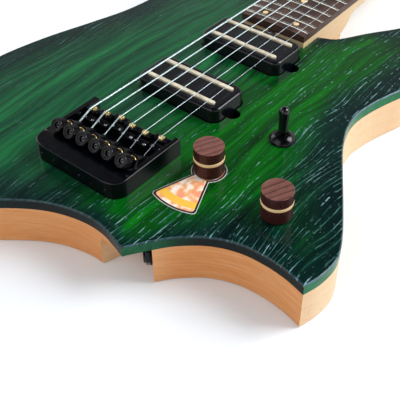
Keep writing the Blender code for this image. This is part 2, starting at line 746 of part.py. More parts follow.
def truss_rod():
    half = TRUSS_WIDTH / 2 - GAP
    low = NECK_TOP_Z - TRUSS_DEPTH + GAP
    bar = block((-half, BOARD_END_Y + GAP, low), (half, SCALE - 9 * MM, NECK_TOP_Z - GAP))
    part("truss_rod", bar, STEEL)
    inner = WHEEL_RADIUS - 1.2 * MM
    length = WHEEL_LENGTH
    profile = [(0.0, length), (inner, length), (WHEEL_RADIUS, length - 1.0 * MM), (WHEEL_RADIUS, 1.0 * MM), (inner, 0.0), (0.0, 0.0)]
    wheel = part(
        "truss_wheel", turned(profile, 16), STEEL, (0, BOARD_END_Y - GAP, wheel_z()), (math.pi / 2, 0, 0)
    )
    for k in range(4):
        turn = (0.0, math.pi / 4 * k, 0.0)
        hole = rod(0.9 * MM, -FAR, FAR, 8)
        cut(wheel, cutter(hole, (0, BOARD_END_Y - GAP - length / 2, wheel_z()), turn))


def neck_screw_places():
    return [(x, BOARD_END_Y + row) for x in (-NECK_SCREW_X, NECK_SCREW_X) for row in NECK_SCREW_ROWS]


def neck_screw_top():
    return POCKET_Z + 14 * MM


def neck_screws():
    head, top = NECK_SCREW_HEAD_HEIGHT + GAP, neck_screw_top()
    rim = NECK_SCREW_HEAD_RADIUS
    profile = [
        (0.0, top), (NECK_SCREW_RADIUS, top - 2.5 * MM), (NECK_SCREW_RADIUS, head), (rim, head),
        (rim, 2 * GAP), (rim - 0.6 * MM, GAP), (0.0, GAP),
    ]
    for number, (x, y) in enumerate(neck_screw_places(), 1):
        part(f"neck_screw_{number}", turned(profile, 14), BLACK_METAL, (x, y, 0))


def nut():
    half = board_half_width(SCALE)
    low = NECK_TOP_Z + GAP
    count = 6
    sections = []
    for y in (SCALE, SCALE + NUT_LENGTH):
        across = [half * (1 - 2 * k / count) for k in range(count + 1)]
        ring = [(x, y, TOP_Z + NUT_RISE - camber(x) - GAP) for x in across]
        sections.append([*ring, (-half, y, low), (half, y, low)])
    part("nut", loft(sections), BONE)


# Headpiece


def clamp_z():
    """Centre line of the strings where the headpiece holds them."""
    return nut_z(0) - 1.0 * MM


def headpiece():
    """A block on the neck's end: strings lie on its bed under a clamp bar, between two cheeks."""
    half = board_half_width(SCALE) + 1.5 * MM
    start, end = SCALE + HEADPIECE_START, SCALE + HEADPIECE_START + HEADPIECE_LENGTH
    low = NECK_TOP_Z + GAP
    bed = clamp_z() - STRING_RADII[0] - GAP
    top = clamp_z() + STRING_RADII[0] + GAP + CLAMP_HEIGHT * 0.8
    middle = (start + end) / 2
    outline = rounded_rectangle(half, HEADPIECE_LENGTH / 2, 4 * MM, 3, (0.0, middle))
    obj = part("headpiece", round_rim(slab(outline, low, top), top, 0.8 * MM), BLACK_METAL)
    inner = half - HEADPIECE_WALL
    cut(obj, cutter(block((-inner, start - FAR, bed), (inner, end - HEADPIECE_WALL, top + FAR))))
    bar_inner = inner - GAP
    bar_low = clamp_z() + STRING_RADII[0] + GAP
    bar_start = start + 4 * MM
    clamp = part(
        "string_clamp",
        block((-bar_inner, bar_start, bar_low), (bar_inner, bar_start + CLAMP_LENGTH, bar_low + CLAMP_HEIGHT)),
        BLACK_METAL,
    )
    for index in range(STRING_COUNT):
        screw = rod(CLAMP_SCREW_RADIUS, -1 * MM, CLAMP_SCREW_HEIGHT, 12)
        place = (string_x(index, SCALE), bar_start + CLAMP_LENGTH / 2, bar_low + CLAMP_HEIGHT)
        join(clamp, cutter(screw, place))


# Bridge


def tuner_along(depth, rise=0.0):
    """Y and Z of a point on a tuner's axis, this deep below the knob's face and this far over the axis."""
    cos, sin = math.cos(TUNER_LEAN), math.sin(TUNER_LEAN)
    y = TUNER_FACE_Y + depth * cos + rise * sin
    z = TOP_Z + TUNER_FACE_RISE - depth * sin + rise * cos
    return y, z


BEARING_DEPTH = KNURL_LENGTH + GAP  # knob's face to the bearing wall
PULLER_REAR = BEARING_DEPTH + BEARING_WALL + PULLER_PULL + GAP
POCKET_REAR = PULLER_REAR + PULLER_HEAD
BALL_DEPTH = POCKET_REAR + PULLER_SLACK + PULLER_CLEAR / 2 + BALL_RADIUS
POCKET_FRONT = BALL_DEPTH + BALL_RADIUS + PULLER_CLEAR / 2 + PULLER_PULL
PULLER_FRONT = POCKET_FRONT + PULLER_LIP
BALL_RISE = -1.1 * MM  # ball's centre over the tuner's axis


def tuner_empty(index):
    """An empty on the face of a tuner's knob: +Z out along its axis, +Y up across it."""
    empty = bpy.data.objects.new(f"tuner_axis_{index + 1}", None)
    PARTS.objects.link(empty)
    empty.location = (string_x(index), *tuner_along(0.0))
    empty.rotation_euler = (math.pi / 2 - TUNER_LEAN, 0.0, 0.0)
    return empty


def leaning_block(x, depth_low, depth_high, rise_low, rise_high):
    """A guide in line with the tuners, across the bridge to both sides of the middle."""
    low = (-x, rise_low, -depth_high)
    high = (x, rise_high, -depth_low)
    place = (0.0, *tuner_along(0.0))
    return cutter(block(low, high), place, (math.pi / 2 - TUNER_LEAN, 0.0, 0.0))


def bridge_base():
    low, high = TOP_Z + GAP, TOP_Z + BRIDGE_HEIGHT
    floor = TOP_Z + GAP + BRIDGE_FLOOR
    thin = TOP_Z + GAP + BRIDGE_THIN_FLOOR
    inner = BRIDGE_HALF_WIDTH - BRIDGE_WALL
    corner = BRIDGE_CORNER
    outline = [(BRIDGE_HALF_WIDTH, BRIDGE_FRONT), (-BRIDGE_HALF_WIDTH, BRIDGE_FRONT)]
    steps = 6
    for side in (-1, 1):
        for k in range(steps + 1):
            share = k / steps if side < 0 else 1 - k / steps
            angle = math.pi / 2 * share
            x = BRIDGE_HALF_WIDTH - corner + corner * math.cos(angle)
            y = BRIDGE_REAR + corner - corner * math.sin(angle)
            outline.append((side * x, y))
    base = part("bridge_base", round_rim(slab(outline, low, high), high, BRIDGE_EDGE), BLACK_METAL)
    slope_rise = -PULLER_RADIUS - PULLER_CLEAR
    knob_floor = -KNURL_RADIUS - PULLER_CLEAR
    wall_rear, wall_front = BEARING_DEPTH, BEARING_DEPTH + BEARING_WALL
    slope = (tuner_along(0.0, slope_rise)[1] - floor) / math.sin(TUNER_LEAN)
    slope_thin = (tuner_along(0.0, slope_rise)[1] - thin) / math.sin(TUNER_LEAN)
    trough_rear = tuner_along(slope, slope_rise)[0]
    thin_rear = tuner_along(slope_thin, slope_rise)[0]
    thin_front = tuner_along(PULLER_FRONT + PULLER_SLACK, PULLER_RADIUS)[0] + PULLER_CLEAR
    cut(base, cutter(block((-inner, trough_rear, floor), (inner, BRIDGE_FRONT + FAR, high + FAR))))
    cut(base, cutter(block((-inner, thin_rear, thin), (inner, thin_front, high + FAR))))
    cut(base, leaning_block(inner, wall_rear + BEARING_WALL * 0.4, slope_thin, slope_rise, FAR))
    cut(base, leaning_block(inner, -FAR, wall_rear + BEARING_WALL * 0.6, knob_floor, FAR))
    join(base, leaning_block(inner + BEARING_ROOT, wall_rear, wall_front, knob_floor - BEARING_ROOT, BEARING_RISE))
    for index in range(STRING_COUNT):
        place = (string_x(index), *tuner_along(wall_rear))
        bore = rod(ROD_BORE, -BEARING_WALL - 2 * MM, 2 * MM, 12)
        cut(base, cutter(bore, place, (math.pi / 2 - TUNER_LEAN, 0.0, 0.0)))
        hole = rod(LOCK_SCREW_RADIUS, -FAR, LOCK_SCREW_DEPTH, 10, "Y")
        cut(base, cutter(hole, (string_x(index), BRIDGE_REAR, TOP_Z + LOCK_SCREW_RISE)))
    return base


def crest_z(index):
    return saddle_z(index) - STRING_RADII[index] - GAP


def saddles():
    """Blocks that slide along the trough; each crest carries one string."""
    half = (BRIDGE_PITCH - SADDLE_GAP) / 2
    floor = TOP_Z + 2 * GAP + BRIDGE_FLOOR
    for index in range(STRING_COUNT):
        foot = floor - crest_z(index)
        profile = [
            (SADDLE_FRONT, foot), (SADDLE_FRONT, -4.6 * MM), (2.3 * MM, -1.3 * MM), (1.2 * MM, -0.3 * MM), (0.0, 0.0),
            (-1.2 * MM, -0.3 * MM), (-2.4 * MM, -1.6 * MM), (-3.2 * MM, -SADDLE_TAIL_DROP + 0.6 * MM),
            (-SADDLE_TAIL, -SADDLE_TAIL_DROP), (-SADDLE_TAIL, foot),
        ]
        sections = [[(x, y, z) for y, z in profile] for x in (-half, half)]
        place = (string_x(index), SADDLE_SETBACK[index], crest_z(index))
        part(f"saddle_{index + 1}", loft(sections), BLACK_METAL, place)


def tuners():
    """Knobs, each with a through bore for its puller's rod, and the pullers that hold the ball ends."""
    bevel = KNURL_BEVEL
    knob_profile = [
        (ROD_BORE, 0.0), (KNURL_RADIUS - bevel, 0.0), (KNURL_RADIUS, -bevel), (KNURL_RADIUS, -KNURL_LENGTH + bevel),
        (KNURL_RADIUS - bevel, -KNURL_LENGTH), (ROD_BORE, -KNURL_LENGTH),
    ]
    edge = 0.5 * MM
    barrel_profile = [
        (0.0, -ROD_TIP), (ROD_RADIUS, -ROD_TIP), (ROD_RADIUS, -PULLER_REAR), (PULLER_RADIUS - edge, -PULLER_REAR),
        (PULLER_RADIUS, -PULLER_REAR - edge), (PULLER_RADIUS, -PULLER_FRONT + edge),
        (PULLER_RADIUS - edge, -PULLER_FRONT), (0.0, -PULLER_FRONT),
    ]
    flat_z = TOP_Z + GAP + BRIDGE_THIN_FLOOR + GAP + PULLER_SLACK * math.sin(TUNER_LEAN)
    for index in range(STRING_COUNT):
        empty = tuner_empty(index)
        part(f"tuner_knob_{index + 1}", turned(knob_profile, 18, closed=True), BLACK_METAL, parent=empty)
        puller = part(f"puller_{index + 1}", turned(barrel_profile, 14), BRASS, parent=empty)
        pocket_low = BALL_RISE - BALL_RADIUS - PULLER_CLEAR
        pocket_high = BALL_RISE + BALL_RADIUS + PULLER_CLEAR / 2
        pocket = block((-FAR, pocket_low, -POCKET_FRONT), (FAR, pocket_high, -POCKET_REAR))
        half_slot = STRING_RADII[index] + PULLER_CLEAR
        slot_rear = BALL_DEPTH - PULLER_SLACK - half_slot
        slot = block((-half_slot, BALL_RISE, -PULLER_FRONT - FAR), (half_slot, FAR, -slot_rear))
        below = block((-FAR, -FAR, -FAR), (FAR, FAR, flat_z))
        cut(puller, cutter(pocket, parent=empty), cutter(slot, parent=empty), cutter(below))


def strings():
    """Each wire from its ball end over saddle and nut into the headpiece."""
    end_y = SCALE + HEADPIECE_START + HEADPIECE_LENGTH - HEADPIECE_WALL - 2 * MM
    for index in range(STRING_COUNT):
        x = string_x(index)
        x_nut = string_x(index, SCALE)
        ball_y, ball_z = tuner_along(BALL_DEPTH, BALL_RISE)
        crest_y = SADDLE_SETBACK[index]
        over_saddle, over_nut = saddle_z(index), nut_z(index)
        points = [
            (x, ball_y, ball_z),
            (x, crest_y - 1.9 * MM, over_saddle - 0.05 * MM),
            (x, crest_y, over_saddle),
            (x_nut, SCALE + 1 * MM, over_nut),
            (x_nut, SCALE + NUT_LENGTH, over_nut),
            (x_nut, SCALE + HEADPIECE_START + 3 * MM, clamp_z()),
            (x_nut, end_y, clamp_z()),
        ]
        wire = part(f"string_{index + 1}", tube(points, STRING_RADII[index], 1), STEEL)
        ball = rod(BALL_RADIUS, -BALL_LENGTH / 2, BALL_LENGTH / 2, 12, "X")
        join(wire, cutter(ball, (x, ball_y, ball_z)))


# Pickups


def pickup(name, y):
    """A housing open below, held by two ears, and two blades on one core."""
    bottom, top = TOP_Z - PICKUP_SINK, TOP_Z + PICKUP_RISE
    mesh = round_rim(slab(pickup_outline(y), bottom, top), top, PICKUP_BEVEL)
    housing = part(name, mesh, BLACK_PLASTIC)
    ear_outline = rounded_rectangle(PICKUP_HALF_LENGTH + EAR_LENGTH - ROUT_CLEAR, EAR_HALF_WIDTH, EAR_HALF_WIDTH - 1 * MM, centre=(0.0, y))
    join(housing, cutter(slab(ear_outline, bottom, bottom + EAR_THICK)))
    cut(housing, cutter(slab(pickup_outline(y, -PICKUP_WALL), bottom - FAR, top - PICKUP_BEVEL - 1 * MM)))
    core_top = top - PICKUP_BEVEL - 2 * MM
    core_half = BLADE_SPACING / 2 + BLADE_THICK
    core = part(
        f"{name}_blades",
        block((-BLADE_HALF_LENGTH - 1 * MM, y - core_half, core_top - CORE_THICK), (BLADE_HALF_LENGTH + 1 * MM, y + core_half, core_top)),
        CREAM_STEEL,
    )
    for side in (-1, 1):
        middle = y + side * BLADE_SPACING / 2
        half = BLADE_THICK / 2
        blade = block((-BLADE_HALF_LENGTH, middle - half, core_top - 1 * MM), (BLADE_HALF_LENGTH, middle + half, top + BLADE_RISE))
        join(core, cutter(blade))
        reach = BLADE_HALF_LENGTH + GAP
        slot = block((-reach, middle - half - GAP, bottom), (reach, middle + half + GAP, top + FAR))
        cut(housing, cutter(slot))


# Controls


def knob(name, x, y):
    """A turned wooden knob in two steps with a pale ring let in between, on a shaft."""
    foot = TOP_Z + KNOB_LIFT
    groove_low, groove_high = RING_LIFT - GAP, RING_LIFT + RING_HEIGHT + GAP
    edge = KNOB_EDGE
    hole = SHAFT_RADIUS + SHAFT_CLEAR
    profile = [
        (0.0, KNOB_HEIGHT), (KNOB_RADIUS - edge, KNOB_HEIGHT), (KNOB_RADIUS, KNOB_HEIGHT - edge), (KNOB_RADIUS, groove_high),
        (RING_SEAT, groove_high), (RING_SEAT, groove_low), (KNOB_RADIUS, groove_low), (KNOB_RADIUS, edge),
        (KNOB_RADIUS - edge, 0.0), (POT_NUT_RADIUS + 1 * MM, 0.0), (POT_NUT_RADIUS + 1 * MM, 2 * MM), (hole, 2 * MM),
        (hole, SHAFT_IN_KNOB), (0.0, SHAFT_IN_KNOB),
    ]
    part(f"{name}_knob", turned(profile, 24), ROSEWOOD, (x, y, foot))
    inner = RING_SEAT + GAP
    ring = [(inner, RING_HEIGHT), (RING_RADIUS, RING_HEIGHT), (RING_RADIUS, 0.0), (inner, 0.0)]
    part(f"{name}_ring", turned(ring, 24, closed=True), MAPLE, (x, y, foot + RING_LIFT))


def pot(name, x, y, with_pull):
    """A pot under the top with its threaded bush and nut over it, and its shaft."""
    nut_top = POT_NUT_HEIGHT + GAP
    can_top = -TOP_THICK - 2 * GAP
    can_low = can_top - POT_HEIGHT
    bore = SHAFT_RADIUS + SHAFT_CLEAR
    profile = [
        (bore, nut_top), (POT_NUT_RADIUS, nut_top), (POT_NUT_RADIUS, CARD_THICK + GAP * 2), (POT_BUSH_RADIUS, CARD_THICK + GAP * 2),
        (POT_BUSH_RADIUS, can_top), (POT_RADIUS, can_top), (POT_RADIUS, can_low), (bore, can_low),
    ]
    case = part(f"{name}_pot", turned(profile, 20, closed=True), STEEL, (x, y, TOP_Z))
    shaft_low = can_low + 1 * MM
    if with_pull:
        box_low = can_low - PULL_BOX_HEIGHT
        half = PULL_BOX_HALF
        box = block((x - half, y - half, TOP_Z + box_low), (x + half, y + half, TOP_Z + can_low + 1 * MM))
        join(case, cutter(box))
        inner = PLUNGER_HALF + GAP
        roof = TOP_Z + can_low - GAP
        cut(case, cutter(block((x - inner, y - inner, TOP_Z + box_low - FAR), (x + inner, y + inner, roof))))
        cut(case, cutter(rod(bore, -FAR, 0.0, 20), (x, y, TOP_Z)))
        plunger_top = can_low - GAP - PULL_TRAVEL - GAP
        half = PLUNGER_HALF
        plunger = block((-half, -half, -PLUNGER_HEIGHT), (half, half, 0.0))
        part(f"{name}_plunger", plunger, BLACK_PLASTIC, (x, y, TOP_Z + plunger_top))
        shaft_low = plunger_top + GAP
    shaft_top = KNOB_LIFT + SHAFT_IN_KNOB - GAP
    part(f"{name}_shaft", rod(SHAFT_RADIUS, shaft_low, shaft_top, 16), STEEL, (x, y, TOP_Z))


def selector():
    """Case below the top, a domed collar on it and the lever, which rocks along the strings."""
    pivot = TOP_Z - SWITCH_PIVOT_DEPTH
    width, length, height = SWITCH_CASE
    top = TOP_UNDER_Z - GAP
    case = part(
        "switch_case",
        block(
            (SWITCH_X - width / 2, SWITCH_Y - length / 2, top - height),
            (SWITCH_X + width / 2, SWITCH_Y + length / 2, top),
        ),
        STEEL,
    )
    bush_top = TOP_Z + COLLAR_HEIGHT
    well = LEVER_STEM_RADIUS + (bush_top + COLLAR_NECK_HEIGHT - pivot) * math.tan(LEVER_THROW) + 0.6 * MM
    join(case, cutter(rod(SWITCH_BUSH_RADIUS - GAP, top - 1 * MM, bush_top, 20), (SWITCH_X, SWITCH_Y, 0)))
    cut(case, cutter(rod(well, pivot - 5 * MM, bush_top + FAR, 16), (SWITCH_X, SWITCH_Y, 0)))
    step, rim = COLLAR_HEIGHT, COLLAR_HEIGHT + COLLAR_NECK_HEIGHT
    collar = [
        (well, rim), (COLLAR_NECK_RADIUS, rim - 0.3 * MM), ((COLLAR_RADIUS + COLLAR_NECK_RADIUS) / 2, rim * 0.65),
        (COLLAR_RADIUS - 0.3 * MM, rim * 0.36), (COLLAR_RADIUS, rim * 0.16), (COLLAR_RADIUS, GAP),
        (SWITCH_BUSH_RADIUS, GAP), (SWITCH_BUSH_RADIUS, step + GAP), (well, step + GAP),
    ]
    part("switch_collar", turned(collar, 20, closed=True), BLACK_METAL, (SWITCH_X, SWITCH_Y, TOP_Z))
    lift = SWITCH_PIVOT_DEPTH
    tip, foot, r = LEVER_TIP_RISE + lift, LEVER_FOOT_RISE + lift, LEVER_RADIUS
    lever = [
        (0.0, tip), (0.5 * r, tip - 0.14 * r), (0.87 * r, tip - 0.5 * r), (r, tip - r), (0.86 * r, foot + 3 * MM),
        (0.86 * r, foot + 0.5 * MM), (0.7 * r, foot), (LEVER_STEM_RADIUS, foot), (LEVER_STEM_RADIUS, -3.5 * MM), (0.0, -3.5 * MM),
    ]
    part("switch_lever", turned(lever, 20), BLACK_PLASTIC, (SWITCH_X, SWITCH_Y, pivot))


def pull_tag():
    """A thin wedge of card with a round end under the volume knob, pointing to the tail."""
    outline = []

    def add(radius, angle):
        heading = angle + CARD_TURN - math.pi / 2
        outline.append((VOLUME_X + radius * math.cos(heading), VOLUME_Y + radius * math.sin(heading)))

    def side(radius):
        return CARD_SIDE_ANGLE + math.asin(CARD_SIDE_OFFSET / radius)

    inset = CARD_RADIUS - CARD_CORNER
    corner = side(CARD_RADIUS) - CARD_CORNER / CARD_RADIUS
    for k in range(9):
        add(CARD_RADIUS, corner * (k / 4 - 1))
    add(inset, side(inset))
    start = side(CARD_HEAD_RADIUS)
    for k in range(13):
        add(CARD_HEAD_RADIUS, start + 2 * (math.pi - start) * k / 12)
    add(inset, -side(inset))
    card = part("pull_tag", slab(outline, TOP_Z + GAP, TOP_Z + GAP + CARD_THICK), CARD)
    cut(card, cutter(rod(POT_BUSH_RADIUS + GAP, -FAR, FAR, 16), (VOLUME_X, VOLUME_Y, TOP_Z)))


def output_jack():
    place, turn = jack_frame()
    nut_top = JACK_NUT_LENGTH + GAP
    profile = [
        (JACK_BORE, nut_top + 1.2 * MM), (JACK_RADIUS - 0.8 * MM, nut_top + 1.2 * MM), (JACK_RADIUS - 0.8 * MM, nut_top),
        (JACK_NUT_RADIUS - 0.4 * MM, nut_top), (JACK_NUT_RADIUS, nut_top - 0.4 * MM), (JACK_NUT_RADIUS, GAP),
        (JACK_RADIUS, GAP), (JACK_RADIUS, -JACK_LENGTH), (JACK_BORE, -JACK_LENGTH),
    ]
    part("output_jack", turned(profile, 20, closed=True), BLACK_METAL, place, turn)


def jack_lead():
    """The short lead inside the cavity, from the jack's end to the volume pot."""
    place, turn = jack_frame()
    out = Vector((math.sin(turn[2]), -math.cos(turn[2]), 0.0))
    end = Vector(place) - out * (JACK_LENGTH + GAP + 0.2 * MM)
    low = TOP_Z - TOP_THICK - POT_HEIGHT / 2
    middle = Vector((VOLUME_X + POT_RADIUS + 12 * MM, VOLUME_Y - 12 * MM, low - 2 * MM))
    pot_side = Vector((VOLUME_X + POT_RADIUS + GAP + 0.2 * MM, VOLUME_Y, low))
    route = [end, end - out * 3 * MM, middle, pot_side + Vector((3 * MM, 0, 0)), pot_side]
    part("jack_lead", tube(smooth_run([tuple(p) for p in route], 4), LEAD_RADIUS, 1), BLACK_PLASTIC)


OUTLINE = body_outline()
body_back()
body_top()
control_cover()
strap_buttons()
neck()
fretboard()
truss_rod()
neck_screws()
nut()
headpiece()
bridge_base()
saddles()
tuners()
strings()
pickup("bridge_pickup", BRIDGE_PICKUP_Y)
pickup("neck_pickup", NECK_PICKUP_Y)
for label, knob_x, knob_y, pulls in (("volume", VOLUME_X, VOLUME_Y, True), ("tone", TONE_X, TONE_Y, False)):
    knob(label, knob_x, knob_y)
    pot(label, knob_x, knob_y, pulls)
selector()
pull_tag()
output_jack()
jack_lead()
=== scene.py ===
"""Looks of the headless electric guitar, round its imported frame.

Metres, in the same frame as the CAD: +Y along the strings to the head, +X the treble side, +Z out of the top.
The shapes are worked out in millimetres, and piece() brings them to metres.
"""

import math

import bmesh
import bpy
import numpy as np
from mathutils import Euler, Matrix, Vector
from mathutils.geometry import delaunay_2d_cdt

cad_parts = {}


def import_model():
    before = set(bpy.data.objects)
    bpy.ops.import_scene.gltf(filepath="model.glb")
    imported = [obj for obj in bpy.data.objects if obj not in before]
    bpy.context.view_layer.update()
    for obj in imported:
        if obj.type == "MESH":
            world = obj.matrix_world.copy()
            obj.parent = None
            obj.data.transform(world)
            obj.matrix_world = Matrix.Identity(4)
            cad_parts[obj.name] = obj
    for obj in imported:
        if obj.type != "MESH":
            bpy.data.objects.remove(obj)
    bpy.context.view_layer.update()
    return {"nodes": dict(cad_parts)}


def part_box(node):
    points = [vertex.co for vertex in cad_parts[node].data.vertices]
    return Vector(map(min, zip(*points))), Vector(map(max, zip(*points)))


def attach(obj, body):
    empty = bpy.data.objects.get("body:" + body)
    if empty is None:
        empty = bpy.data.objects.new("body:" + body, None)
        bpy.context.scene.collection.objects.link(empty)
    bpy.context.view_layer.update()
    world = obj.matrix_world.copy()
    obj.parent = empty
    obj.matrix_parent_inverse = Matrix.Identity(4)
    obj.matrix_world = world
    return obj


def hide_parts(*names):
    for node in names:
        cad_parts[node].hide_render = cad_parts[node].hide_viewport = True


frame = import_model()

MM = 0.001
GAP = 0.3  # between pieces that touch
FAR = 60  # how far a cutting tool reaches past what it cuts
SAME = 0.0001  # points this close are one
QUARTER = math.pi / 2
ALONG_X, ALONG_Y = (0, QUARTER, 0), (-QUARTER, 0, 0)

# Sizes that the source gives
SCALE = 648
BRIDGE_PITCH, NUT_PITCH = 10.8, 7
STRING_RADII = [0.71, 0.535, 0.405, 0.305, 0.225, 0.165]
SADDLE_SETBACK = [-2.4, -1.6, 0.6, -1.2, -1, 1.8]
CAMBER_RADIUS = 400
GLUE_Z, TOP_UNDER_Z, TOP_Z = 27.5, 27.8, 35
RIM = 1.2
BOARD_TOP_Z = TOP_Z + 10.2
NECK_TOP_Z = BOARD_TOP_Z - 6.3
POCKET_Z = TOP_Z - 16
BOARD_END_Y = SCALE / 4 - 6
HEEL_END_Y = BOARD_END_Y + 57
PICKUP_Y = {"bridge_pickup": 60.7, "neck_pickup": BOARD_END_Y - 27}
VOLUME, TONE, SWITCH = (59.5, 7.1), (112.7, 1.4), (76.7, 59.2)
JACK = ((65, -52.3, 15), (QUARTER, 0, -math.pi / 4))
STRINGS = range(6)


# Mesh helpers


def linked(name, data):
    obj = bpy.data.objects.new(name, data)
    bpy.context.scene.collection.objects.link(obj)
    return obj


def mesh_from(bm):
    bmesh.ops.recalc_face_normals(bm, faces=bm.faces)
    if bm.calc_volume(signed=True) < 0:
        bmesh.ops.reverse_faces(bm, faces=bm.faces)
    mesh = bpy.data.meshes.new("shape")
    bm.to_mesh(mesh)
    bm.free()
    return mesh


def evaluated(obj, weld=SAME):
    """The mesh with its modifiers applied, and the object removed."""
    bpy.context.view_layer.update()
    graph = bpy.context.evaluated_depsgraph_get()
    bm = bmesh.new()
    bm.from_mesh(bpy.data.meshes.new_from_object(obj.evaluated_get(graph)))
    bmesh.ops.remove_doubles(bm, verts=bm.verts, dist=weld)
    bpy.data.objects.remove(obj, do_unlink=True)
    return mesh_from(bm)


def moved(mesh, place=(0, 0, 0), turn=(0, 0, 0), parent=Matrix()):
    """The mesh set down in the guitar's frame."""
    mesh.transform(parent @ Matrix.LocRotScale(place, Euler(turn), None))
    return mesh


def joined(*meshes):
    """Separate shells as one mesh."""
    bm = bmesh.new()
    for mesh in meshes:
        bm.from_mesh(mesh)
    return mesh_from(bm)


def carved(mesh, *tools, operation="DIFFERENCE"):
    """The mesh with the other meshes cut out of it, one after the other."""
    obj = linked("carved", mesh)
    cutters = [linked("cutter", tool) for tool in tools]
    for cutter in cutters:
        modifier = obj.modifiers.new("cut", "BOOLEAN")
        modifier.object, modifier.operation, modifier.solver = cutter, operation, "EXACT"
    made = evaluated(obj, 10 * SAME)
    for cutter in cutters:
        bpy.data.objects.remove(cutter, do_unlink=True)
    return made


def filled(mesh):
    """Closes the slivers that a cut can leave open."""
    bm = bmesh.new()
    bm.from_mesh(mesh)
    bmesh.ops.holes_fill(bm, edges=[edge for edge in bm.edges if edge.is_boundary])
    bm.to_mesh(mesh)
    bm.free()
    return mesh


def edged(mesh, width, segments=2, angle=35):
    """The mesh with its sharp edges rounded."""
    obj = linked("edged", mesh)
    bevel = obj.modifiers.new("bevel", "BEVEL")
    bevel.width, bevel.segments, bevel.limit_method = width, segments, "ANGLE"
    bevel.angle_limit = math.radians(angle)
    return evaluated(obj)


def block(low, high):
    bm = bmesh.new()
    bmesh.ops.create_cube(bm, size=1)
    size, middle = Vector(high) - Vector(low), (Vector(high) + Vector(low)) / 2
    bmesh.ops.transform(bm, matrix=Matrix.LocRotScale(middle, None, size), verts=bm.verts)
    return mesh_from(bm)


def turned(profile, segments=48, dent=1):
    """A run of (radius, height) turned about Z, and closed where it starts off the axis.

    Dent scales the radii at every second point round it.
    """
    bm = bmesh.new()
    rings = []
    for radius, z in eased(profile):
        ring = []
        for k in range(segments if radius > SAME else 1):
            angle, reach = 2 * math.pi * k / segments, radius * (1 if k % 2 else dent)
            ring.append(bm.verts.new((reach * math.cos(angle), reach * math.sin(angle), z)))
        rings.append(ring)
    if profile[0][0] > SAME:
        rings.append(rings[0])
    for one, two in zip(rings, rings[1:]):
        for i in range(segments):
            j = (i + 1) % segments
            corners = (one[i % len(one)], one[j % len(one)], two[j % len(two)], two[i % len(two)])
            face = list(dict.fromkeys(corners))
            if len(face) > 2:
                bm.faces.new(face)
    return mesh_from(bm)


def rod(radius, low, high, place=(0, 0, 0), turn=(0, 0, 0), segments=32):
    return moved(turned([(0, high), (radius, high), (radius, low), (0, low)], segments), place, turn)


def mirrored(points):
    """The upper half of a profile, and its mirror image below it."""
    return points + [(radius, -z, *rest) for radius, z, *rest in reversed(points)]


def eased(points, closed=False, steps=4):
    """The run of (x, y, radius) with each corner rounded by its third number."""
    count, found = len(points), []
    for i, (x, y, *rest) in enumerate(points):
        reach = rest[0] if rest else 0
        if reach <= 0 or (not closed and i in (0, count - 1)):
            found.append((x, y))
            continue
        here = Vector((x, y))
        before = (Vector(points[i - 1][:2]) - here).normalized() * reach
        after = (Vector(points[(i + 1) % count][:2]) - here).normalized() * reach
        for k in range(steps + 1):
            t = k / steps
            found.append(tuple(here + before * (1 - t) ** 2 + after * t**2))
    return found


def grown(outline, by):
    """The closed outline moved outwards along its normals."""
    ring = np.array(outline)
    along = np.roll(ring, -1, 0) - np.roll(ring, 1, 0)
    along /= np.linalg.norm(along, axis=1)[:, None]
    x, y = ring[:, 0], ring[:, 1]
    sign = math.copysign(1, float(np.sum(x * np.roll(y, -1) - np.roll(x, -1) * y)))
    return [tuple(p) for p in ring + np.stack([along[:, 1], -along[:, 0]], 1) * by * sign]


def skin(bm, rings):
    """The faces between each ring of vertices and the next, and the lid on the first."""
    for one, two in zip(rings, rings[1:]):
        for i in range(len(one)):
            j = (i + 1) % len(one)
            bm.faces.new((one[i], one[j], two[j], two[i]))
    bm.faces.new(rings[0][::-1])


def capped(bm, ring, spacing):
    """A flat lid on the ring, in triangles about this size."""
    z = ring[0].co.z
    edge = np.array([(v.co.x, v.co.y) for v in ring])
    low, high = edge.min(0), edge.max(0)
    xs, ys = np.arange(low[0], high[0], spacing), np.arange(low[1], high[1], spacing)
    grid = np.array([(x + (spacing / 2 if i % 2 else 0), y) for i, y in enumerate(ys) for x in xs])
    inside = np.zeros(len(grid), bool)
    near = np.full(len(grid), np.inf)
    for (x0, y0), (x1, y1) in zip(edge, np.roll(edge, -1, 0)):
        crosses = (y0 > grid[:, 1]) != (y1 > grid[:, 1])
        with np.errstate(divide="ignore", invalid="ignore"):
            inside ^= crosses & (grid[:, 0] < (x1 - x0) * (grid[:, 1] - y0) / (y1 - y0) + x0)
        near = np.minimum(near, np.hypot(grid[:, 0] - x0, grid[:, 1] - y0))
    grid = grid[inside & (near > spacing * 0.5)]
    points = [Vector(p) for p in (*edge, *grid)]
    made = delaunay_2d_cdt(points, [], [list(range(len(edge)))], 1, SAME)
    verts = [bm.verts.new((p.x, p.y, z)) for p in made[0]]
    for face in made[2]:
        bm.faces.new([verts[i] for i in face])


def slab(outline, low, high, top=0, bottom=0, steps=4, spacing=None):
    """A flat closed outline with thickness and rounded upper and lower edges."""
    angles = np.linspace(0, QUARTER, steps + 1)
    levels = [(bottom * (1 - math.sin(a)), low + bottom * (1 - math.cos(a))) for a in angles]
    levels += [(top * (1 - math.cos(a)), high - top * (1 - math.sin(a))) for a in angles]
    bm = bmesh.new()
    rings = []
    for inset, z in levels:
        if not rings or abs(rings[-1][0].co.z - z) > SAME:
            rings.append([bm.verts.new((x, y, z)) for x, y in grown(outline, -inset)])
    skin(bm, rings)
    if spacing:
        capped(bm, rings[-1], spacing)
        bmesh.ops.remove_doubles(bm, verts=bm.verts, dist=10 * SAME)
    else:
        bm.faces.new(rings[-1])
    return mesh_from(bm)


